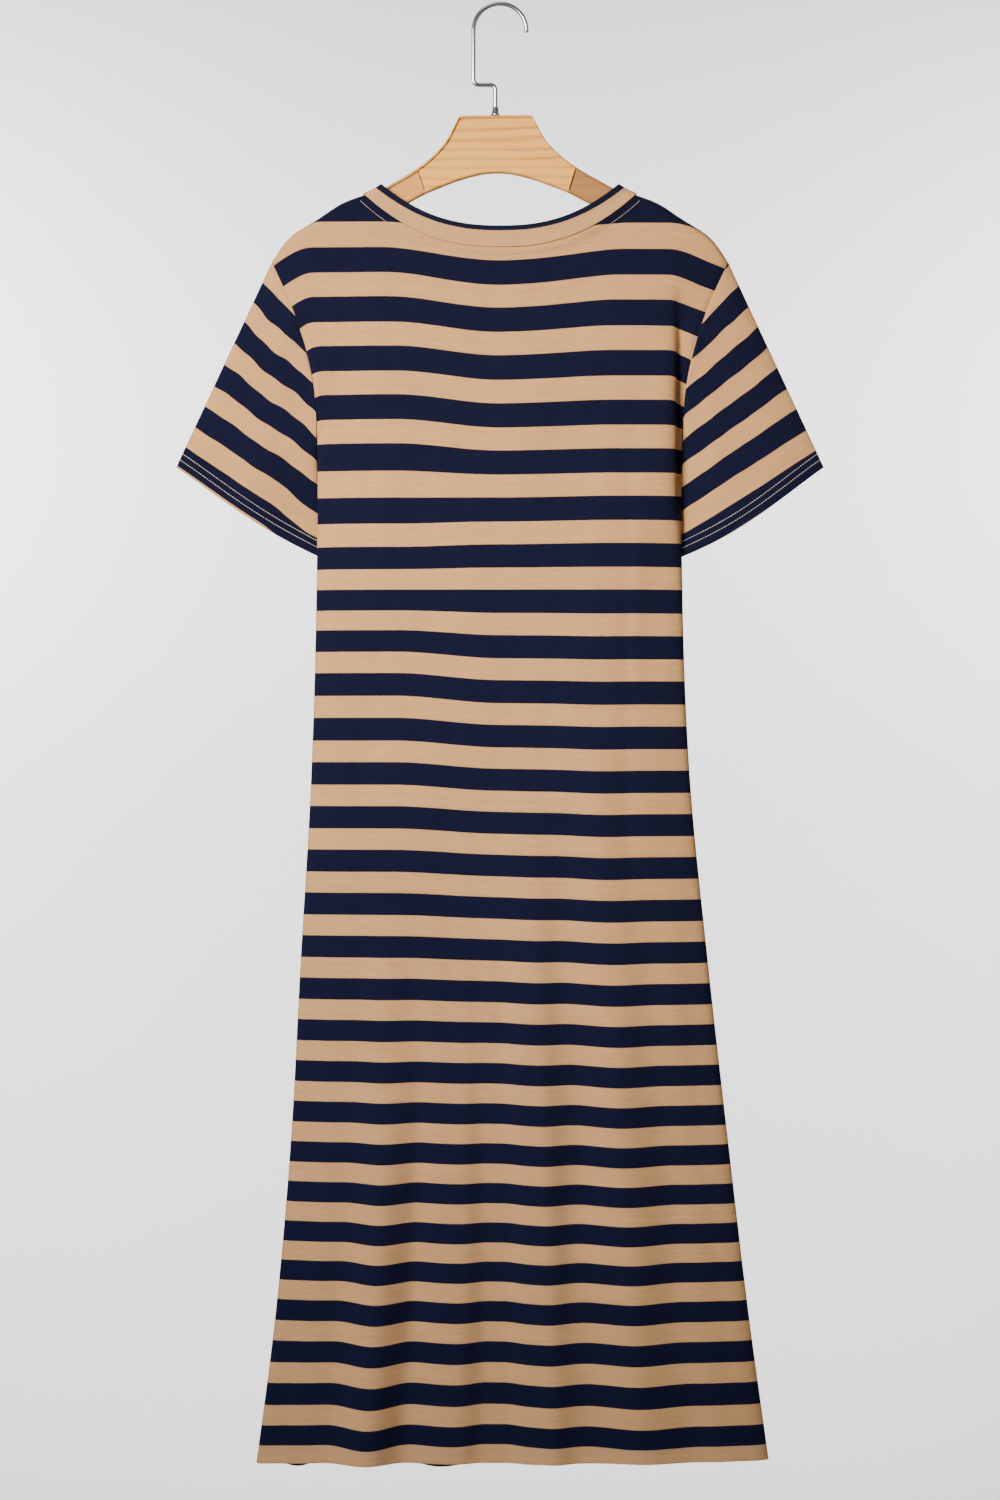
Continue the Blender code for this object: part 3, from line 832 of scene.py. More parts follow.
    def neck_line(self, panel: PanelShape, share: Array, below: float) -> tuple[Array, Array]:
        """Places along the neck edge of a panel, moved a distance into the cloth.

        Args:
            panel: back or front.
            share: -1 at the left neck point to 1 at the right one.
            below: distance from the seam, square to it.

        Returns:
            The places across and down.
        """
        x = self.neck_x * share
        drop = self.top_drop(panel, x)
        slope = np.gradient(drop, x)
        length = np.sqrt(1 + slope ** 2)
        return self.locate(panel, x - slope / length * below, drop + below / length)


@dataclass(frozen=True)
class StripePlan:
    """How the stripes of the cloth lie on the hanging dress.

    A stripe number grows by one for each pair of a navy and a khaki stripe, and the
    navy one comes first. The pattern map holds the number times the pitch of the cloth.
    """

    pitch: float = 40.0
    levels: tuple[StripeLevel, ...] = (
        StripeLevel(140.4, -2.13, -13.0, -12.0), StripeLevel(195.3, -1, -12.8, -12.0),
        StripeLevel(246.5, 0, -12.7, -10.8), StripeLevel(291.8, 1, -10.1, -7.1),
        StripeLevel(337.7, 2, -9.0, -4.8), StripeLevel(383.7, 3, -8.5, -3.4),
        StripeLevel(428.7, 4, -6.4, -2.1), StripeLevel(473.6, 5, 0.0, -1.8),
        StripeLevel(518.3, 6, 2.3, -1.5), StripeLevel(561.4, 7, 0.0, -0.2),
        StripeLevel(605.0, 8, -5.4, 0.7), StripeLevel(647.9, 9, -7.0, 1.1),
        StripeLevel(690.6, 10, -6.7, 1.5), StripeLevel(773.6, 12, -5.3, 2.3),
        StripeLevel(855.0, 14, -3.9, 2.7), StripeLevel(935.2, 16, -2.6, 2.9),
        StripeLevel(1051.8, 19, -1.1, 2.6), StripeLevel(1165.6, 22, -0.2, 1.8),
        StripeLevel(1240.6, 24, 0.0, 1.2), StripeLevel(1318.2, 26, 0.4, 1.7),
        StripeLevel(1358.0, 27, 0.6, 2.9), StripeLevel(1377.4, 27.52, 0.7, 3.2),
        StripeLevel(1399.0, 28.0, 0.8, 3.6))
    last_number: float = 28.0
    side_reach: tuple[float, float] = (0.56, 0.62)
    front_lift: float = 12.0
    front_lift_from: float = 300.0
    front_lift_fall: float = 110.0
    fold_pull: float = 0.16
    hem_pull: Window = Window(1220, 150, math.inf, 1)
    stretch: float = 1.06
    turned_start: float = 0.4
    turned_rate: float = 0.9
    droop_start: tuple[float, float] = (178.0, 162.0)
    droop_powers: tuple[float, float] = (2.3, 1.7)
    droop_room: float = 12.0
    droops: tuple[tuple[float, float, float], ...] = (
        (180, 17.0, 18.0), (246, 17.0, 18.0), (292, 8.0, 10.5), (338, 4.0, 8.0),
        (384, 2.0, 5.0), (430, 0.0, 0.0), (500, 0.0, 0.0))
    sleeve_pitch: float = 43.5
    sleeve_swing: float = 15.0
    sleeve_sway: tuple[float, float] = (1.7, 0.8)
    sway_waves: tuple[Wave, Wave] = (
        Wave(1.0, 0.105, 0.05, 0.0, 1.0), Wave(0.5, 0.24, -0.03, 0.0, 0.0))
    inner_bend: float = 6.5
    right_bend_share: float = 0.35
    bend_window: Window = Window(0.45, 0.3, math.inf, 1)
    inner_window: Window = Window(0.55, 0.35, math.inf, 1)
    cuff_navy: tuple[float, float] = (21.1, 17.5)
    cuff_rim: float = 1.14

    def droop(self, form: DressForm, down: Array, points: Array) -> Array:
        """How far the stripes bend down towards the armholes, in millimetres.

        Args:
            form: the dress.
            down: places down.
            points: the panel's points.

        Returns:
            A power curve of the distance beyond the place where the bend starts.
        """
        edge = form.section(form.tip_drop + form.length * down, "half_width")
        total = 0.0
        for i, side in enumerate(Side):
            start = np.minimum(self.droop_start[i], edge - self.droop_room)
            q = np.clip((points[..., 0] * side.value - start) / (edge - start), 0, 1)
            amount = table_column(-points[..., 2], self.droops, i + 1)
            total = total + amount * q ** self.droop_powers[i]
        return total

    def panel_map(self, form: DressForm, panel: PanelShape, across: Array, down: Array,
                  points: Array) -> Array:
        """Map places of a panel: across along the stripes, down through them.

        The stripes lie lower or higher at the sides than in the middle, a fold pulls
        them down a little, and the lowest ones follow the hem.

        Args:
            form: the dress.
            panel: back or front.
            across: places across.
            down: places down.
            points: the panel's points.

        Returns:
            Two numbers a point, in millimetres of unstretched cloth.
        """
        drop = -points[..., 2]
        if panel.face is Face.BACK:
            left, right = (table_column(drop, self.levels, i) for i in (2, 3))
        else:
            fall = np.clip(drop - self.front_lift_from, 0, None) / self.front_lift_fall
            left = right = -self.front_lift * np.exp(-fall)
        lower = (left * ease_in_out(-across / self.side_reach[0])
                 + right * ease_in_out(across / self.side_reach[1]))
        lower = lower + self.fold_pull * form.ridges(panel.folds, across, down)
        lower = lower + self.droop(form, down, points)
        hem_sag = form.hem_line(panel, across) - form.hem_drop
        lower = lower + hem_sag * self.hem_pull.at(drop)
        number = table_column(drop - lower, self.levels, 1)
        number = np.minimum(number, self.last_number - 0.01)
        return np.stack([points[..., 0] * self.stretch, number * self.pitch], axis=-1)

    def turn_up(self, pattern: Array, above: Array) -> Array:
        """Map places inside a panel: above the hem's fold, where not nan, the next stripe."""
        turned = self.last_number * self.pitch + self.turned_start + self.turned_rate * above
        return np.stack([pattern[..., 0], np.where(np.isnan(above), pattern[..., 1], turned)], -1)

    def sleeve_map(self, form: DressForm, side: Side, turn: Array, t: Array,
                   points: Array) -> Array:
        """Map places of a sleeve: stripes lie parallel to the cuff, and swing near the head.

        Args:
            form: the dress.
            side: left or right.
            turn: way round the sleeve.
            t: way along it.
            points: the sleeve's points.

        Returns:
            Two numbers a point, in millimetres of unstretched cloth.
        """
        right = side is Side.RIGHT
        outer, inner = np.array(form.cuff_outer), np.array(form.cuff_inner)
        along = (inner - outer) / np.linalg.norm(inner - outer)
        from_cuff = np.stack([side.value * points[..., 0], -points[..., 2]], -1) - outer
        height = from_cuff @ np.array([-along[1], along[0]])
        height = height * np.sign(height[0].mean())
        share = 1 - np.abs(1 - turn)
        height = height + form.cuff_bow[right] * np.sin(math.pi * share ** form.bow_power) * t ** 5
        width = from_cuff @ along
        swing = self.sleeve_swing * (1 - t) ** 1.4 * np.sin(math.pi * np.clip(share, 0, 0.5))
        sway = sum(wave.at(width, height, side.value) for wave in self.sway_waves)
        swing = swing + self.sleeve_sway[right] * (1 - t) * sway * ease_in_out(t * 6)
        late = self.bend_window.at(t)
        if right:
            bend = -self.right_bend_share * np.sin(math.pi * share)
        else:
            bend = self.inner_window.at(share)
        swing = swing + self.inner_bend * bend * late
        number = (self.cuff_navy[right] - height - swing) / self.sleeve_pitch
        number = np.where(number > 0, number * self.cuff_rim, number)
        return np.stack([np.where(turn < 1, -1, 1) * width, number * self.pitch], axis=-1)


# Finishes


class Nodes:
    """A material under construction: adds nodes and joins them."""

    def __init__(self, name: str, roughness: float, metallic: float = 0.0,
                 specular: float = 0.5, sheen: float = 0.0) -> None:
        """Start a material with the values that are the same all over.

        Args:
            name: of the material.
            roughness: of the surface.
            metallic: 1 for bare metal.
            specular: strength of the plain reflection.
            sheen: strength of the soft edge light of fibres.
        """
        self.material = bpy.data.materials.new(name)
        self.material.use_nodes = True
        self.tree = self.material.node_tree
        self.shader = self.tree.nodes["Principled BSDF"]
        self.shader.inputs["Roughness"].default_value = roughness
        self.shader.inputs["Metallic"].default_value = metallic
        self.shader.inputs["Specular IOR Level"].default_value = specular
        self.shader.inputs["Sheen Weight"].default_value = sheen
        self.shader.inputs["Sheen Roughness"].default_value = 0.45

    def node(self, kind: str, output: Union[int, str] = 0,
             settings: Optional[dict] = None, **inputs: Value) -> Socket:
        """Add a node.

        Args:
            kind: its type without the ShaderNode part.
            output: the output wanted.
            settings: properties to set on it.
            inputs: by name with _ for a space, or i0, i1 by number.

        Returns:
            The output socket.
        """
        node = self.tree.nodes.new("ShaderNode" + kind)
        for key, value in (settings or {}).items():
            setattr(node, key, value)
        for key, value in inputs.items():
            index = int(key[1:]) if key[0] == "i" and key[1:].isdigit() else key.replace("_", " ")
            self.give(node.inputs[index], value)
        return node.outputs[output]

    def give(self, socket: Socket, value: Value) -> None:
        """Link a socket or set its value.

        Args:
            socket: the input.
            value: another socket, a colour or a number.
        """
        if isinstance(value, bpy.types.NodeSocket):
            self.tree.links.new(value, socket)
        elif isinstance(value, tuple) and len(value) == 3 and socket.type == "RGBA":
            socket.default_value = (*value, 1.0)
        else:
            socket.default_value = value

    def calc(self, operation: str, first: Value, second: Value = 0.0, third: Value = 0.0,
             clamp: bool = False) -> Socket:
        """A sum of one, two or three numbers."""
        return self.node("Math", settings={"operation": operation, "use_clamp": clamp},
                         i0=first, i1=second, i2=third)

    def constant(self, color: tuple) -> Socket:
        """A plain colour as a socket.

        Args:
            color: red, green and blue.

        Returns:
            The output socket.
        """
        socket = self.node("RGB")
        socket.default_value = (*color, 1.0)
        return socket

    def noise(self, vector: Socket, scale: tuple, detail: float = 2.0,
              rough: float = 0.5) -> Socket:
        """Noise from 0 to 1 on a vector stretched by scale."""
        place = self.node("Mapping", Vector=vector, Scale=scale)
        return self.node("TexNoise", Vector=place, Scale=1.0, Detail=detail, Roughness=rough)

    def blend(self, factor: Value, first: Value, second: Value, mode: str = "MIX") -> Socket:
        """Mix of two colours."""
        settings = {"data_type": "RGBA", "blend_type": mode}
        return self.node("Mix", output=2, settings=settings, i0=factor, i6=first, i7=second)

    def shade(self, color: Socket, by: Socket, low: float, high: float) -> Socket:
        """A colour made darker and lighter: times low at 0 to times high at 1."""
        amount = self.node("MapRange", Value=by, To_Min=low, To_Max=high)
        return self.node("VectorMath", settings={"operation": "SCALE"}, i0=color, Scale=amount)

    def bump(self, height: Socket, distance: float, strength: float = 1.0) -> None:
        """Raise the surface by a height."""
        normal = self.node("Bump", Height=height, Distance=distance, Strength=strength)
        self.give(self.shader.inputs["Normal"], normal)

    def finish(self, color: Value) -> bpy.types.Material:
        """Set the colour and give the material."""
        self.give(self.shader.inputs["Base Color"], color)
        return self.material


@dataclass(frozen=True)
class Jersey:
    """Cotton jersey in navy and khaki.

    The pattern map runs along the courses first and through them second, in metres.
    """

    name: str = "striped_jersey"
    navy: tuple = linear(16, 18, 42)
    khaki: tuple = linear(198, 149, 100)
    pitch: float = 0.040
    navy_share: float = 0.515
    navy_middle: float = 0.2475
    soft_edge: float = 0.009
    wale: float = 0.0011
    course: float = 0.0008

    def make(self) -> bpy.types.Material:
        """Stripes, heathered streaks, and the small V stitches of the knit.

        Returns:
            The material.
        """
        nodes = Nodes(self.name, roughness=0.85, specular=0.06, sheen=0.02)
        cloth = nodes.node("UVMap")
        u = nodes.node("SeparateXYZ", output="X", Vector=cloth)
        v = nodes.node("SeparateXYZ", output="Y", Vector=cloth)
        uneven = nodes.noise(cloth, (420.0, 90.0, 1.0), 2.0)
        number = nodes.calc("MULTIPLY_ADD", v, 1 / self.pitch, -self.navy_middle + 0.5)
        number = nodes.calc("MULTIPLY_ADD", nodes.calc("SUBTRACT", uneven, 0.5), 0.010, number)
        away = nodes.calc("ABSOLUTE", nodes.calc("SUBTRACT", nodes.calc("FRACT", number), 0.5))
        inside = nodes.calc("SUBTRACT", self.navy_share / 2, away)
        is_navy = nodes.calc("MULTIPLY_ADD", inside, 1 / self.soft_edge, 0.5, clamp=True)
        streaks = nodes.noise(cloth, (42.0, 640.0, 1.0), 4.0, 0.66)
        bands = nodes.noise(cloth, (5.0, 210.0, 1.0), 2.0)
        clouds = nodes.noise(cloth, (11.0, 13.0, 1.0), 2.0)
        khaki = nodes.shade(nodes.constant(self.khaki), streaks, 0.77, 1.23)
        khaki = nodes.shade(khaki, bands, 0.90, 1.10)
        navy = nodes.shade(nodes.constant(self.navy), streaks, 0.70, 1.30)
        color = nodes.blend(is_navy, khaki, navy)
        color = nodes.shade(color, clouds, 0.94, 1.06)
        nodes.bump(self.knit(nodes, u, v, streaks), 0.0003, 0.6)
        return nodes.finish(color)

    def knit(self, nodes: Nodes, u: Socket, v: Socket, streaks: Socket) -> Socket:
        """Height of the knit: slanted legs that mirror in each wale, and loose fibre.

        Args:
            nodes: the material.
            u: place along the courses.
            v: place through them.
            streaks: loose fibre from 0 to 1.

        Returns:
            A height from about 0 to 1.
        """
        wale = nodes.calc("FRACT", nodes.calc("DIVIDE", u, self.wale))
        mirrored = nodes.calc("ABSOLUTE", nodes.calc("SUBTRACT", wale, 0.5))
        course = nodes.calc("ADD", nodes.calc("DIVIDE", v, self.course), mirrored)
        leg = nodes.calc("SINE", nodes.calc("MULTIPLY", course, 2 * math.pi))
        between = nodes.calc("SINE", nodes.calc("MULTIPLY", mirrored, 2 * math.pi))
        height = nodes.calc("MULTIPLY_ADD", leg, 0.35, nodes.calc("MULTIPLY", between, 0.6))
        return nodes.calc("MULTIPLY_ADD", streaks, 0.9, height)


@dataclass(frozen=True)
class BandJersey(Jersey):
    """The neckband's jersey: khaki with a navy stripe on its fold."""

    name: str = "band_jersey"
    khaki: tuple = linear(196, 149, 103)
    navy: tuple = linear(18, 22, 43)
    pitch: float = 0.080
    navy_share: float = 0.135
    navy_middle: float = 0.0
    soft_edge: float = 0.008


@dataclass(frozen=True)
class Thread:
    """Sewing thread; with a dark colour it also paints the shade where the needle pierced the
    cloth.
    """

    name: str
    color: tuple
    twist: float = 2600.0

    def make(self) -> bpy.types.Material:
        """Thread with a fine twist.

        Returns:
            The material.
        """
        nodes = Nodes(self.name, roughness=0.6, specular=0.4, sheen=0.15)
        place = nodes.node("TexCoord", output="Object")
        fibre = nodes.noise(place, (self.twist, self.twist, self.twist), 2.0)
        nodes.bump(fibre, 0.0001, 0.5)
        return nodes.finish(nodes.shade(nodes.constant(self.color), fibre, 0.75, 1.2))


@dataclass(frozen=True)
class Wood:
    """Pale varnished wood with its grain along x."""

    name: str
    light: tuple
    dark: tuple
    rings: float = 1.0
    stretch: tuple = (5.0, 60.0, 95.0)

    def make(self) -> bpy.types.Material:
        """Grain from stretched noise, fine pores, and a satin varnish.

        Returns:
            The material.
        """
        nodes = Nodes(self.name, roughness=0.48, specular=0.25)
        place = nodes.node("TexCoord", output="Object")
        warp = nodes.noise(place, (4.0, 9.0, 12.0), 2.0)
        grain = nodes.noise(place, self.stretch, 5.0, 0.6)
        height = nodes.node("SeparateXYZ", output="Z", Vector=place)
        lines = nodes.calc("MULTIPLY_ADD", warp, 9.0, nodes.calc("MULTIPLY", grain, 2.5))
        lines = nodes.calc("SINE", nodes.calc("MULTIPLY_ADD", height, 330.0, lines))
        lines = nodes.calc("POWER", nodes.calc("ABSOLUTE", lines), 5.0)
        lines = nodes.calc("MULTIPLY", lines, nodes.noise(place, (14.0, 60.0, 150.0), 1.0))
        factor = nodes.calc("MULTIPLY_ADD", lines, 1.15 * self.rings,
                            nodes.calc("MULTIPLY", grain, 0.4), clamp=True)
        pores = nodes.noise(place, (160.0, 1500.0, 2400.0), 3.0, 0.7)
        color = nodes.blend(factor, self.light, self.dark)
        color = nodes.shade(color, pores, 0.90, 1.08)
        nodes.give(nodes.shader.inputs["Roughness"],
                   nodes.node("MapRange", Value=grain, To_Min=0.36, To_Max=0.50))
        nodes.shader.inputs["Coat Weight"].default_value = 0.06
        nodes.shader.inputs["Coat Roughness"].default_value = 0.25
        nodes.bump(pores, 0.0001, 0.35)
        return nodes.finish(color)


@dataclass(frozen=True)
class Chrome:
    """Chromed steel wire with a faint drawn texture."""

    name: str = "chromed_wire"
    color: tuple = (0.54, 0.55, 0.57)

    def make(self) -> bpy.types.Material:
        """Bright metal, a little uneven.

        Returns:
            The material.
        """
        nodes = Nodes(self.name, roughness=0.16, metallic=1.0)
        place = nodes.node("TexCoord", output="Object")
        worn = nodes.noise(place, (300.0, 300.0, 90.0), 3.0)
        nodes.give(nodes.shader.inputs["Roughness"],
                   nodes.node("MapRange", Value=worn, To_Min=0.10, To_Max=0.24))
        nodes.bump(worn, 0.00005, 0.2)
        return nodes.finish(nodes.shade(nodes.constant(self.color), worn, 0.92, 1.06))


@dataclass(frozen=True)
class Paint:
    """Matt paint of the studio."""

    name: str = "studio_paint"
    color: tuple = linear(196, 196, 196)

    def make(self) -> bpy.types.Material:
        """Matt paint with a slight roller texture.

        Returns:
            The material.
        """
        nodes = Nodes(self.name, roughness=0.95, specular=0.1)
        place = nodes.node("TexCoord", output="Object")
        roller = nodes.noise(place, (3.0, 3.0, 3.0), 2.0)
        return nodes.finish(nodes.shade(nodes.constant(self.color), roller, 0.99, 1.01))


# Pieces of the dress


def cloth_wall(name: str, points: Array, above: Array, thick: Array, maps: tuple[Array, Array],
               material: bpy.types.Material, wrap: bool = False) -> bpy.types.Object:
    """Make a piece of cloth as a thin wall whose lowest edge is rounded.

    Args:
        name: of the solid that the piece stands for.
        points: outer surface.
        above: height of each point above the piece's lower edge.
        thick: thickness of the wall at each point.
        maps: map places of the outside and of the inside.
        material: its finish.
        wrap: whether the columns close to a ring.

    Returns:
        The new object.
    """
    normals = grid_normals(points, wrap)
    rounding = (0.5 * thick * (1 - quarter_round(above / EDGE_ROUNDING)))[..., None]
    mesh = Mesh(name + "_cloth")
    inner = points - normals * (thick[..., None] - rounding)
    add_shell(mesh, points - normals * rounding, inner, *maps, wrap)
    return mesh.build(material, "striped_jersey", 75, name)


@dataclass(frozen=True)
class Panel:
    """The back or the front of the dress, one piece from shoulder to hem."""

    form: DressForm
    stripes: StripePlan
    shape: PanelShape
    ply: float = 0.8
    hem_ply: float = 1.6
    neck_steps: int = 64
    side_steps: int = 26
    armhole_rows: int = 44
    body_rows: int = 118
    hem_rows: int = 9
    side_crowding: float = 1.7
    top_crowding: float = 1.25
    roll_drops: tuple[float, ...] = (0, 0.3, 0.8, 1.5, 2.4, 3.6, 5.0, 7.0)

    def columns(self) -> Array:
        """Places across: close together at the neck points and at the sides.

        Returns:
            Rising places from -1 to 1 on the back, falling ones on the front.
        """
        neck = np.sin(np.linspace(-math.pi / 2, math.pi / 2, self.neck_steps + 1))
        neck = neck * self.form.neck_x / self.form.tip_x
        t = np.linspace(0, 1, self.side_steps + 1)[1:]
        side = neck[-1] + (1 - neck[-1]) * (1 - (1 - t) ** self.side_crowding)
        return np.concatenate([-side[::-1], neck, side])[::-self.shape.outward]

    def rows(self) -> Array:
        """Places down: the shoulder roll, the armhole, the body and the turned hem.

        Returns:
            Rising places from 0 to 1.
        """
        form = self.form
        roll = np.array(self.roll_drops) / form.length
        t = np.linspace(0, 1, self.armhole_rows + 1)[1:]
        armhole = roll[-1] + (form.underarm - roll[-1]) * (1 - (1 - t) ** self.top_crowding)
        turn, edge = form.hem_turn / form.length, EDGE_ROUNDING / form.length
        body = np.linspace(form.underarm, 1 - turn - edge, self.body_rows + 1)[1:]
        hem = np.linspace(1 - turn, 1 - edge, self.hem_rows)
        return np.concatenate([roll, armhole, body, hem, 1 - edge * np.array([0.6, 0.3, 0.1, 0])])

    def build(self, name: str, material: bpy.types.Material) -> bpy.types.Object:
        """Make the panel with a turned hem.

        Args:
            name: of the solid that it stands for.
            material: its finish.

        Returns:
            The new object.
        """
        across, down = np.meshgrid(self.columns(), self.rows())
        points = self.form.panel_points(self.shape, across, down)
        pattern = self.stripes.panel_map(self.form, self.shape, across, down, points)
        above = (1 - down) * self.form.length
        turned = above < self.form.hem_turn - 0.5
        inside = self.stripes.turn_up(pattern, np.where(turned, above, np.nan))
        thick = np.where(turned, self.hem_ply, self.ply)
        return cloth_wall(name, points, above, thick, (pattern, inside), material)


@dataclass(frozen=True)
class Sleeve:
    """A short set-in sleeve with a seam under the arm."""

    form: DressForm
    stripes: StripePlan
    side: Side
    ply: float = 0.8
    hem_ply: float = 1.6
    fold_ply: float = 0.35
    around: int = 120
    along: int = 70
    head: tuple[float, ...] = (0, 0.003, 0.008, 0.015, 0.025, 0.037)
    hem_start: float = 24.0
    hem_steps: tuple[float, ...] = (
        22, 20.2, 20, 17, 14, 11, 8, 5, 2.5, 1.2, 0.7, 0.35, 0.1, 0)

    def turns(self) -> Array:
        """Ways round, starting and ending under the arm, close together at the folds.

        Returns:
            One way more than there are columns, as the last one is the first again.
        """
        half = (1 - np.cos(np.linspace(0, math.pi, self.around // 2 + 1))) / 2
        return np.concatenate([1 + half, half[1:-1], [1.0]])

    def build(self, name: str, material: bpy.types.Material) -> bpy.types.Object:
        """Make the sleeve with a turned hem; the wall is thin at its two folds.

        Args:
            name: of the solid that it stands for.
            material: its finish.

        Returns:
            The new object.
        """
        form, turns = self.form, self.turns()
        cuff, head = (form.sleeve_points(self.side, turns, np.full_like(turns, end), False)
                      for end in (1.0, 0.0))
        reach = np.linalg.norm(cuff - head, axis=-1)
        rows = np.concatenate([self.head, np.linspace(0.05, 1, self.along)])
        t = np.concatenate([rows[:, None] * (1 - self.hem_start / reach),
                            1 - np.array(self.hem_steps)[:, None] / reach])
        turn = np.broadcast_to(turns, t.shape)
        points = form.sleeve_points(self.side, np.where(turn > 1.999999, 0.0, turn), t)
        pattern = self.stripes.sleeve_map(form, self.side, turn, t, points)
        pattern[:, -1, 0] = pattern[:, 0, 0]
        above, share = (1 - t) * reach, 1 - np.abs(1 - turn)
        thick = np.where(above < form.hem_turn + 0.1, self.hem_ply, self.ply)
        thick = self.fold_ply + (thick - self.fold_ply) * np.clip(8 * share * (1 - share), 0, 1)
        way = -self.side.value
        points, pattern, above, thick = (a[:, ::way] for a in (points, pattern, above, thick))
        return cloth_wall(name, points[:, :-1], above[:, :-1], thick[:, :-1], (pattern, pattern),
                          material, wrap=True)


@dataclass(frozen=True)
class Neckband:
    """A strip of jersey folded along its length and sewn to the neck edge."""

    form: DressForm
    ply: float = 0.85
    bulge: float = 1.1
    inner_bulge: float = 0.77
    swell_start: float = 0.02
    lap: float = -0.6
    narrowing: float = 0.28
    around: int = 200
    rise: int = 14
    roll: int = 9

    def seam(self, panel: PanelShape, share: Array) -> Array:
        """Points of the neck seam on a panel."""
        across = share * self.form.neck_x / self.form.tip_x
        return self.form.panel_points(panel, across, np.zeros_like(across), False)

    def rim(self, panel: PanelShape, share: Array) -> Array:
        """Points of the folded rim above a panel: a power curve dipping in the middle.

        Args:
            panel: back or front.
            share: -1 to 1 along the rim.

        Returns:
            Points in millimetres.
        """
        form = self.form
        drop = form.rim_drop + panel.rim_dip * (1 - np.abs(share) ** form.neck_power)
        y = panel.outward * form.rim_depth * (1 - share ** 2) ** form.neck_flatness
        return np.stack([form.rim_x * share, y, -drop], axis=-1)

    def profile(self, tall: Array) -> tuple[Array, Array]:
        """Section of the folded strip: outer ply up, round the rim, inner ply down.

        Args:
            tall: height of the band at each place round the neck.

        Returns:
            How far each point lies above the seam and outwards.
        """
        up = np.linspace(0, 1, self.rise)[:, None]
        lift = up * (tall - self.ply) + (1 - up) * self.lap
        swell = self.ply * quarter_round((up + self.swell_start) * 4)
        arch = 4 * up * (1 - up)
        angle = np.linspace(0, math.pi, self.roll)[1:-1, None]
        lifts = [lift, tall - self.ply + self.ply * np.sin(angle), lift[::-1]]
        outs = [swell + self.bulge * arch, self.ply * np.cos(angle),
                (self.inner_bulge * arch - swell)[::-1]]
        return np.concatenate(lifts), np.concatenate(outs)

    def band_map(self, points: Array, rim: Array) -> Array:
        """Map places of the strip: along the rim, and across it from the fold.

        Args:
            points: the strip's points.
            rim: the rim's points.

        Returns:
            Two numbers a point, with one more column; the narrow stripe at the fold
            is widest at the neck points.
        """
        steps = np.linalg.norm(np.diff(points, axis=0), axis=-1)
        v = np.concatenate([np.zeros((1, len(rim))), np.cumsum(steps, axis=0)])
        v = v - v[self.rise + self.roll // 2 - 1]
        v = np.concatenate([v, v[:, :1]], axis=1)
        closed = np.diff(np.concatenate([rim, rim[:1]]), axis=0)
        along = np.concatenate([[0], np.cumsum(np.linalg.norm(closed, axis=-1))])
        turn = np.linspace(-math.pi / 2, 3 * math.pi / 2, v.shape[1])
        widen = 1 - self.narrowing * np.abs(np.sin(turn)) ** 3
        return np.stack([np.broadcast_to(along, v.shape), v * widen], -1)

    def build(self, name: str, material: bpy.types.Material) -> bpy.types.Object:
        """Make the folded strip.

        Args:
            name: of the solid that it stands for.
            material: its finish.

        Returns:
            The new object.
        """
        share = np.sin(np.linspace(-math.pi / 2, math.pi / 2, self.around // 2 + 1)[:-1])
        seam, rim = (np.concatenate([line(BACK, share), line(FRONT, -share)])
                     for line in (self.seam, self.rim))
        up = unit(rim - seam)
        both = rim + seam
        out = unit(np.cross(up, unit(np.roll(both, -1, 0) - np.roll(both, 1, 0))))
        lifts, outs = self.profile(np.linalg.norm(rim - seam, axis=-1))
        points = seam + up * lifts[..., None] + out * (outs - self.ply)[..., None]
        mesh = Mesh(name + "_strip")
        mesh.add_grid(points[::-1], self.band_map(points, rim)[::-1], wrap=True)
        return mesh.build(material, "plain_jersey", 80, name)


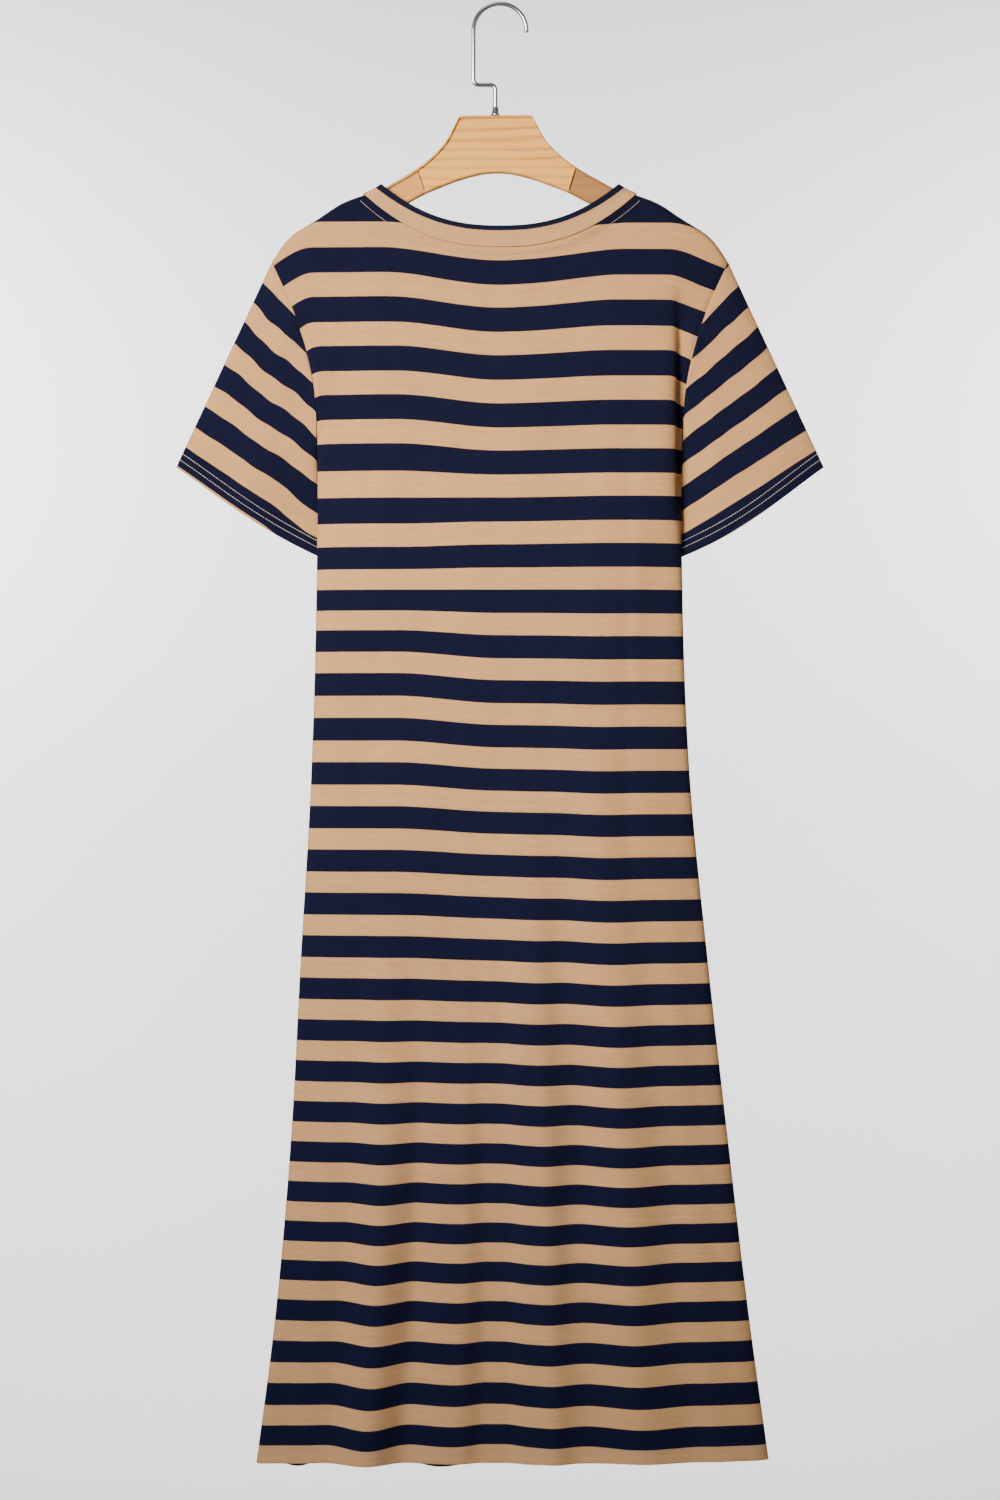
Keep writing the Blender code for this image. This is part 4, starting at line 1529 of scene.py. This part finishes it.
@dataclass(frozen=True)
class Sewing:
    """Rows of small stitches that lie on the cloth, or of the short sunken tubes between them that
    carry painted shade where the needle pierced the cloth.
    """

    length: float = 1.8
    pitch: float = 2.5
    radius: float = 0.30
    height: float = 0.32
    shift: float = 0.5
    sunk: float = 0.12
    taper: float = 0.55
    sides: int = 6
    rings: int = 5

    def evenly(self, points: Array, normals: Array) -> tuple[Array, Array, Array]:
        """Places at equal steps along a line.

        Args:
            points: the line.
            normals: the cloth's normals along it.

        Returns:
            Places, normals and directions.
        """
        steps = np.linalg.norm(np.diff(points, axis=0), axis=-1)
        along = np.concatenate([[0], np.cumsum(steps)])
        at = np.arange((self.shift or 1) * self.pitch, along[-1], self.pitch)

        def read(values: Array, places: Array) -> Array:
            """The values at places along the line."""
            return np.stack([np.interp(places, along, values[:, i]) for i in range(3)], -1)

        ahead = read(points, at + 0.5) - read(points, at - 0.5)
        return read(points, at), unit(read(normals, at)), unit(ahead)

    def row(self, mesh: Mesh, points: Array, normals: Array) -> None:
        """Add a row of stitches along a line on the cloth.

        Each stitch is a short tube: its height over the cloth is half an ellipse, and
        its radius narrows to the ends, where the thread enters the cloth.

        Args:
            mesh: where they go.
            points: the line.
            normals: the cloth's normals along it.
        """
        place, normal, along = (v[:, None, None, :] for v in self.evenly(points, normals))
        across = unit(np.cross(normal, along))
        s = np.linspace(-1, 1, self.rings)[None, :, None, None]
        angle = np.linspace(0, 2 * math.pi, self.sides, endpoint=False)[None, None, :, None]
        lift = self.height * np.sqrt(np.clip(1 - s * s, 0, 1)) - self.sunk
        radius = self.radius * (1 - self.taper * np.abs(s) ** 3)
        ring = radius * (np.cos(angle) * across + np.sin(angle) * normal)
        points = place + along * s * self.length / 2 + normal * lift + ring
        per = self.rings * self.sides
        near = np.array([[0, 1, 2, 3], [0, 3, 4, 5]])
        tube = np.concatenate([grid_corners(self.rings, self.sides, True)[0], near,
                               near[:, ::-1] + per - self.sides])
        faces = (np.arange(len(place))[:, None, None] * per + tube[:, ::-1]).reshape(-1, 4)
        mesh.add(points, faces, np.zeros((len(faces), 4, 2)))


@dataclass(frozen=True)
class DressSewing:
    """All the sewing that shows on the dress."""

    form: DressForm
    sewing: Sewing
    # Dark tubes that paint the shade where the needle pierced the cloth.
    holes: Sewing
    neck_below: float = 7.6
    neck_reach: float = 0.99
    neck_steps: int = 500
    hem_reach: float = 0.995
    hem_steps: int = 900
    cuff_margin: float = 0.0005
    cuff_steps: int = 200
    body_rows: tuple[float, float] = (13.4, 10.4)
    sleeve_rows: tuple[float, float] = (14.4, 8.2)
    step_across: float = 0.002
    step_down: float = 0.0008
    step_sleeve: float = 0.004

    def on_panel(self, shape: PanelShape, across: Array, down: Array) -> tuple[Array, Array]:
        """Points and normals of a panel along a line of places.

        Args:
            shape: back or front.
            across: places across.
            down: places down.

        Returns:
            Points in millimetres, and outward normals.
        """
        here, aside, below = (self.form.panel_points(shape, across + a, down + d)
                              for a, d in ((0, 0), (self.step_across, 0), (0, self.step_down)))
        return here, unit(np.cross(below - here, aside - here)) * -shape.outward

    def both(self, name: str, lines: list[tuple[Array, Array]], thread: bpy.types.Material,
             hole_shade: bpy.types.Material) -> list[bpy.types.Object]:
        """Stitches along lines on the cloth, and dark tubes between them that paint the shade where
        the needle pierced the cloth.

        Args:
            name: of the seam.
            lines: points and normals of each row.
            thread: finish of the stitches.
            hole_shade: dark finish that paints the shade where the needle pierced the cloth.

        Returns:
            The stitches and the pieces of painted shade.
        """
        pieces = []
        # The second kind is dark tubes of painted shade where the needle pierced the cloth.
        for kind, sewing, material in (("stitches", self.sewing, thread),
                                       ("holes", self.holes, hole_shade)):
            mesh = Mesh(f"{name}_{kind}")
            for line in lines:
                sewing.row(mesh, *line)
            pieces.append(mesh.build(material, "striped_jersey", 60))
        return pieces

    def neck(self, thread: bpy.types.Material, hole_shade: bpy.types.Material) -> list[bpy.types.Object]:
        """Topstitching round the neck, through the seam allowance.

        Args:
            thread: finish of the stitches.
            hole_shade: dark finish that paints the shade where the needle pierced the cloth.

        Returns:
            The stitches and the pieces of painted shade.
        """
        share = np.linspace(-self.neck_reach, self.neck_reach, self.neck_steps)
        lines = [self.on_panel(shape, *self.form.neck_line(shape, share, self.neck_below))
                 for shape in (BACK, FRONT)]
        return self.both("neck", lines, thread, hole_shade)

    def hem(self, thread: bpy.types.Material, hole_shade: bpy.types.Material) -> list[bpy.types.Object]:
        """Twin-needle seam round the lower hem.

        Args:
            thread: finish of the stitches.
            hole_shade: dark finish that paints the shade where the needle pierced the cloth.

        Returns:
            The stitches and the pieces of painted shade.
        """
        across = np.linspace(-self.hem_reach, self.hem_reach, self.hem_steps)
        lines = [self.on_panel(shape, across, 1 - above / self.form.length + 0 * across)
                 for shape in (BACK, FRONT) for above in self.body_rows]
        return self.both("hem", lines, thread, hole_shade)

    def cuff(self, side: Side, thread: bpy.types.Material) -> bpy.types.Object:
        """Twin-needle seam round a sleeve hem.

        Args:
            side: left or right.
            thread: finish of the stitches.

        Returns:
            The stitches.
        """
        form = self.form
        mesh = Mesh(f"cuff_stitches_{side.name.lower()}")
        half = (1 - np.cos(np.linspace(0, math.pi, self.cuff_steps))) / 2
        half = np.clip(half, self.cuff_margin, 1 - self.cuff_margin)
        for turn, outward in ((half, -1), (2 - half, 1)):
            cuff, head = (form.sleeve_points(side, turn, np.full_like(turn, end), False)
                          for end in (1.0, 0.0))
            reach = np.linalg.norm(cuff - head, axis=-1)
            for above in self.sleeve_rows:
                t = 1 - above / reach
                here = form.sleeve_points(side, turn, t)
                nearby = form.sleeve_points(side, turn, t + self.step_sleeve)
                normal = unit(np.cross(nearby - here, np.gradient(here, axis=0)))
                normal = normal * np.sign(normal[:, 1:2]) * outward
                self.sewing.row(mesh, here, normal)
        return mesh.build(thread, "striped_jersey", 60)


# Hanger and hook


@dataclass(frozen=True)
class Hanger:
    """Flat wooden hanger: a centre block and two arms, glued at slanted joints."""

    x: float = -3.8
    drop: float = 150.0
    tilt: float = math.radians(-0.65)
    thick: float = 10.4
    rounding: float = 2.4
    corner_x: float = 35.0
    joint_top: float = 76.3
    joint_bottom: float = 68.6
    arm_end: float = 190.0
    arm_round: float = 10.0
    glue_gap: float = -0.02
    corner_lip: float = 0.5
    corner_softness: float = 1.2
    narrowest: float = 2.2
    last_angle: float = 88.0
    flank_steps: int = 30
    shelf_steps: int = 24
    arm_steps: int = 40
    end_steps: int = 14
    top: tuple = ((35, 105.6), (46, 126.7), (61.4, 144), (76.8, 156), (99.8, 169.7),
                  (112, 176.6), (130, 185.4), (150, 195.5), (171, 207.0), (190, 220.8))
    bottom: tuple = ((0, 160.4), (12, 161.2), (23, 163.5), (38.4, 168), (53.8, 173.8),
                     (69.1, 180), (84.5, 188.2), (110, 200), (150, 217), (190, 235))

    def loft(self, name: str, top: tuple[Array, Array], bottom: tuple[Array, Array],
             material: bpy.types.Material, slot: str) -> bpy.types.Object:
        """A board as a loft of rounded rectangles, with flat caps at its ends.

        Args:
            name: of the solid that the board stands for.
            top: distances and drops of the upper edge's points.
            bottom: the same for the lower edge.
            material: its finish.
            slot: the record's material slot.

        Returns:
            The new object.
        """
        corner = np.linspace(0, math.pi / 2, 6)
        inset = self.rounding * (1 - np.sin(corner))
        depth = self.thick / 2 - self.rounding * (1 - np.cos(corner))
        ys = np.concatenate([-depth[::-1], depth, depth[::-1], -depth])
        high, low = (np.stack(edge)[..., None] for edge in (top, bottom))
        tall = np.hypot(*(low - high))
        near = inset * np.minimum(1, tall / (self.narrowest * self.rounding)) / tall
        share = np.concatenate([near[:, ::-1], near, 1 - near[:, ::-1], 1 - near], axis=1)
        x, drop = high + (low - high) * share
        z, y = self.drop - drop, np.broadcast_to(ys, x.shape)
        c, s = math.cos(self.tilt), math.sin(self.tilt)
        points = np.stack([self.x + c * x + s * z, y, -self.drop - s * x + c * z], -1)
        mesh = Mesh(name + "_board")
        mesh.add_tube(points if x[-1, 0] > x[0, 0] else points[::-1])
        return mesh.build(material, slot, 38, name)

    def build(self, block: bpy.types.Material,
              arms: dict[Side, bpy.types.Material]) -> list[bpy.types.Object]:
        """Make the block and both arms.

        Args:
            block: finish of the centre block.
            arms: finish of each arm; the right one is a darker copy of the left, which is painted
                shade.

        Returns:
            The three pieces.
        """
        top_joint, low_joint = self.joint_top - self.glue_gap, self.joint_bottom - self.glue_gap
        flank = np.linspace(self.corner_x, top_joint, self.flank_steps)
        shelf = np.linspace(-1, 1, self.shelf_steps) * (self.corner_x - self.corner_lip)
        top_x = np.concatenate([-flank[::-1], shelf, flank])
        slope = table_column(np.abs(top_x), self.top, 1)
        top_drop = np.where(np.abs(top_x) < self.corner_x, self.top[0][1], slope)
        from_corner = (np.abs(top_x) - self.corner_x) / self.corner_softness
        top_drop = top_drop + self.corner_lip * bell(from_corner)
        low_x = top_x * low_joint / top_joint
        low_drop = table_column(np.abs(low_x), self.bottom, 1)
        pieces = [self.loft("hanger_centre", (top_x, top_drop), (low_x, low_drop), block,
                            "hanger_wood")]
        start = self.arm_end - self.arm_round
        run = np.linspace(0, 1, self.arm_steps)
        top_run, low_run = (joint + self.glue_gap + (start - joint - self.glue_gap) * run
                            for joint in (self.joint_top, self.joint_bottom))
        high = table_column(top_run, self.top, 1)
        low = table_column(low_run, self.bottom, 1)
        angle = np.linspace(0, math.pi / 2, self.end_steps)[1:]
        angle[-1] = math.radians(self.last_angle)
        middle, half = (high[-1] + low[-1]) / 2, (low[-1] - high[-1]) / 2
        end_x = start + self.arm_round * np.sin(angle)
        top_x, low_x = np.concatenate([top_run, end_x]), np.concatenate([low_run, end_x])
        high = np.concatenate([high, middle - half * np.cos(angle)])
        low = np.concatenate([low, middle + half * np.cos(angle)])
        for side in Side:
            name = f"hanger_arm_{side.name.lower()}"
            pieces.append(self.loft(name, (side.value * top_x, high), (side.value * low_x, low),
                                    arms[side], "hanger_arm_wood"))
        return pieces


@dataclass(frozen=True)
class Hook:
    """Bent wire hook and the turned collar at its foot."""

    radius: float = 2.1
    crown: float = 25.4
    stem_x: float = -4.4
    step_drop: float = 75.8
    bend: float = 5.0
    tip_fall: float = 1.3
    wood_top: float = 105.6
    stem_depth: float = 14.0
    sides: int = 24
    ferrule_sides: int = 40
    ferrule_gap: float = 0.35
    neck: float = 3.1
    flange: float = 4.2
    dome: tuple[float, ...] = (0, 25, 50, 70, 84)
    dome_share: float = 0.7

    @staticmethod
    def arc(x: float, drop: float, radius: float, start: float, end: float,
            steps: int) -> Array:
        """Points on an arc about x and drop, between angles in degrees: 0 is +X, 90 is up."""
        angle = np.radians(np.linspace(start, end, steps + 1))
        return np.stack([x + radius * np.cos(angle), drop - radius * np.sin(angle)], -1)

    def route(self) -> Array:
        """Centre line: stem, step to the side, riser, round crown and tip.

        Returns:
            Distances across and drops.
        """
        crown_drop = self.crown - self.radius
        foot, step = self.wood_top + self.stem_depth, self.step_drop + self.bend + 2
        stem = np.stack([np.full(5, self.stem_x), np.linspace(foot, step, 5)], -1)
        first = self.arc(self.stem_x - self.bend, self.step_drop + self.bend, self.bend, 0, 90, 12)
        second = self.arc(self.bend - self.crown, self.step_drop - self.bend, self.bend,
                          270, 180, 12)
        crown = self.arc(0, crown_drop, self.crown, 180, 0, 72)
        tip = np.array([[self.crown, crown_drop + self.tip_fall]])
        return np.concatenate([stem, first, second, crown, tip])

    def build(self, material: bpy.types.Material) -> bpy.types.Object:
        """Sweep a circle along the centre line, with a domed tip.

        Args:
            material: its finish.

        Returns:
            The new object.
        """
        line = self.route()
        ahead = unit(np.gradient(line, axis=0))
        ahead[-1] = (0, 1)
        dome = np.radians(self.dome)
        rise = np.sin(dome) * self.radius * self.dome_share
        rings = np.concatenate([line, line[-1] + np.outer(rise, ahead[-1])])
        direction = np.concatenate([ahead, np.repeat(ahead[-1:], len(dome), 0)])
        radius = self.radius * np.concatenate([np.ones(len(line)), np.cos(dome)])[:, None]
        angle = np.linspace(0, 2 * math.pi, self.sides, endpoint=False)
        out = radius * np.cos(angle)
        x = rings[:, :1] + out * direction[:, 1:]
        drop = rings[:, 1:] - out * direction[:, :1]
        mesh = Mesh("bent_wire")
        mesh.add_tube(np.stack([x, radius * np.sin(angle), -drop], -1))
        return mesh.build(material, "hook_wire", 60, "hanger_hook")

    def build_ferrule(self, material: bpy.types.Material) -> bpy.types.Object:
        """Turn the collar's profile round the stem.

        Args:
            material: its finish.

        Returns:
            The new object.
        """
        bore, neck, flange = self.radius + self.ferrule_gap, self.neck, self.flange
        corners = np.array([
            (bore, 8.2), (neck - 0.4, 8.2), (neck - 0.1, 8.05), (neck, 7.7), (neck, 3.0),
            (neck + 0.15, 2.5), (neck + 0.5, 2.25), (flange - 0.4, 2.2), (flange - 0.1, 2.05),
            (flange, 1.7), (flange, 0.8), (flange - 0.1, 0.45), (flange - 0.4, 0.3), (bore, 0.3),
            (bore, 8.2)])
        angle = np.linspace(0, 2 * math.pi, self.ferrule_sides, endpoint=False)
        x = self.stem_x + corners[:, :1] * np.cos(angle)
        y = corners[:, :1] * np.sin(angle)
        z = corners[:, 1:] - self.wood_top + 0 * angle
        mesh = Mesh("turned_collar")
        flat_map = np.zeros((len(corners), self.ferrule_sides + 1, 2))
        mesh.add_grid(np.stack([x, y, z], -1), flat_map, wrap=True)
        return mesh.build(material, "hook_wire", 35, "hook_ferrule")


# Studio


@dataclass(frozen=True)
class Studio:
    """A big pale bowl, soft lights and the camera."""

    distance: float = 3.0
    height: float = -0.71424
    field: float = 2 * math.atan(0.24)
    bowl_radius: float = 4.6
    bowl_top: float = 5.0
    bowl_curve: float = 1.4
    bowl_sides: int = 96
    floor: float = -2.15
    sky: tuple = (0.92, 0.96, 1.0, 1.0)
    sky_strength: float = 0.10
    lamps: tuple[Lamp, ...] = (
        Lamp("key", (-0.95, -1.7, 0.0), (0.03, 0.0, -0.43), 0.7, 10.6, 57.0, (1.0, 0.94, 0.83)),
        Lamp("low", (-1.0, -1.8, -0.9), (0.0, 0.0, -1.30), 0.8, 4.1, 60.0, (0.76, 0.85, 1.0)),
        Lamp("top", (-0.3, -0.5, 1.1), (0.0, 0.0, -0.15), 0.8, 1.0, 80.0, (1.0, 0.94, 0.86)),
        Lamp("fill", (2.2, -2.4, 0.3), (0.0, 0.0, -0.45), 1.8, 2.0),
        Lamp("wall_left", (-1.8, 3.0, 0.15), (-0.4, 4.6, -0.4), 0.9, 210.0),
        Lamp("wall_right", (1.8, 3.0, 0.15), (0.4, 4.6, -0.4), 0.9, 160.0),
        Lamp("behind", (1.8, 2.0, 0.9), (0.0, 0.0, -0.6), 1.4, 5.0))

    def camera(self) -> None:
        """Camera level with the middle of the dress."""
        data = bpy.data.cameras.new("camera")
        data.sensor_fit = "VERTICAL"
        data.angle = self.field
        camera = bpy.data.objects.new("camera", data)
        camera.location = (0, -self.distance, self.height)
        camera.rotation_euler = (math.pi / 2, 0, 0)
        bpy.context.scene.collection.objects.link(camera)
        bpy.context.scene.camera = camera

    def bowl(self, paint: bpy.types.Material) -> None:
        """Floor that curves up to a round wall: a quarter circle turned about z.

        Args:
            paint: its finish.
        """
        angle, curve = np.linspace(0, math.pi / 2, 16), self.bowl_curve
        radius = np.concatenate([[0.001, 1.0, 2.2],
                                 self.bowl_radius - curve * (1 - np.sin(angle)),
                                 np.full(6, self.bowl_radius)])
        height = np.concatenate([[0, 0, 0], curve * (1 - np.cos(angle)),
                                 np.linspace(curve + 0.4, self.bowl_top, 6)])
        turn = np.linspace(0, 2 * math.pi, self.bowl_sides, endpoint=False)
        points = np.stack([radius[:, None] * np.cos(turn), radius[:, None] * np.sin(turn),
                           self.floor + height[:, None] + 0 * turn], -1)
        vertex, _ = grid_corners(len(points), self.bowl_sides, True)
        mesh = bpy.data.meshes.new("studio_bowl")
        mesh.from_pydata(points.reshape(-1, 3).tolist(), [], vertex.tolist())
        mesh.shade_smooth()
        mesh.materials.append(paint)
        obj = bpy.data.objects.new("studio_bowl", mesh)
        bpy.context.scene.collection.objects.link(obj)

    @staticmethod
    def light(lamp: Lamp) -> None:
        """Hang up a lamp that the camera doesn't see.

        Args:
            lamp: its place, aim, size and power.
        """
        data = bpy.data.lights.new(lamp.name, "AREA")
        data.color = lamp.color
        data.size, data.energy, data.spread = lamp.size, lamp.watts, math.radians(lamp.spread)
        obj = bpy.data.objects.new(lamp.name, data)
        obj.location = lamp.place
        obj.visible_camera = False
        x, y, z = unit(np.array(lamp.aim) - np.array(lamp.place))
        obj.rotation_euler = (math.acos(-z), 0, math.atan2(y, x) - math.pi / 2)
        bpy.context.scene.collection.objects.link(obj)

    def build(self) -> None:
        """Set up camera, bowl, lights and the pale surroundings."""
        self.camera()
        self.bowl(Paint().make())
        for lamp in self.lamps:
            self.light(lamp)
        world = bpy.data.worlds.new("surroundings")
        world.use_nodes = True
        background = world.node_tree.nodes["Background"]
        background.inputs["Color"].default_value = self.sky
        background.inputs["Strength"].default_value = self.sky_strength
        bpy.context.scene.world = world


class Dress:
    """The whole dress on its hanger."""

    def __init__(self) -> None:
        """Take the sizes and plans."""
        self.form = DressForm()
        self.stripes = StripePlan()
        # Short dark tubes between the stitches: painted shade where the needle pierced the cloth.
        holes = Sewing(length=0.8, radius=0.34, height=0.17, shift=0.0)
        self.sewing = DressSewing(self.form, Sewing(), holes)

    def build(self) -> None:
        jersey, band = Jersey().make(), BandJersey().make()
        thread = Thread("khaki_thread", linear(190, 170, 146)).make()
        # Dark brown painted shade where the needle pierced the cloth, not a colour of the cloth or
        # the thread.
        hole_shade = Thread("needle_hole_shade", linear(52, 38, 28)).make()
        pale = Thread("pale_thread", linear(214, 200, 182)).make()
        back = Panel(self.form, self.stripes, BACK).build("back_panel", jersey)
        front = Panel(self.form, self.stripes, FRONT).build("front_panel", jersey)
        neckband = Neckband(self.form).build("neckband", band)
        neck = self.sewing.neck(thread, hole_shade)
        hem = self.sewing.hem(thread, hole_shade)
        for side in Side:
            name = f"sleeve_{side.name.lower()}"
            sleeve = Sleeve(self.form, self.stripes, side).build(name, jersey)
            cuff = self.sewing.cuff(side, pale)


def main() -> None:
    """Build the scene."""
    logging.basicConfig(level=logging.INFO, format="%(name)s: %(message)s")
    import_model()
    Dress().build()
    chrome = Chrome().make()
    block = Wood("beech_block", linear(242, 180, 86), linear(206, 134, 54))
    arms = {
        Side.LEFT: Wood("beech_arm_left", linear(214, 152, 78), linear(188, 126, 60), rings=0.4),
        # Darker copy of the arm wood: painted shade, because the right arm is turned from the light
        # and lies in shadow.
        Side.RIGHT: Wood("beech_arm_right_painted_shade", linear(168, 118, 66), linear(144, 96, 50), rings=0.4)}
    Hanger().build(block.make(), {side: arm.make() for side, arm in arms.items()})
    hook = Hook()
    hook.build(chrome)
    hook.build_ferrule(chrome)
    Studio().build()


if __name__ == "__main__":
    main()
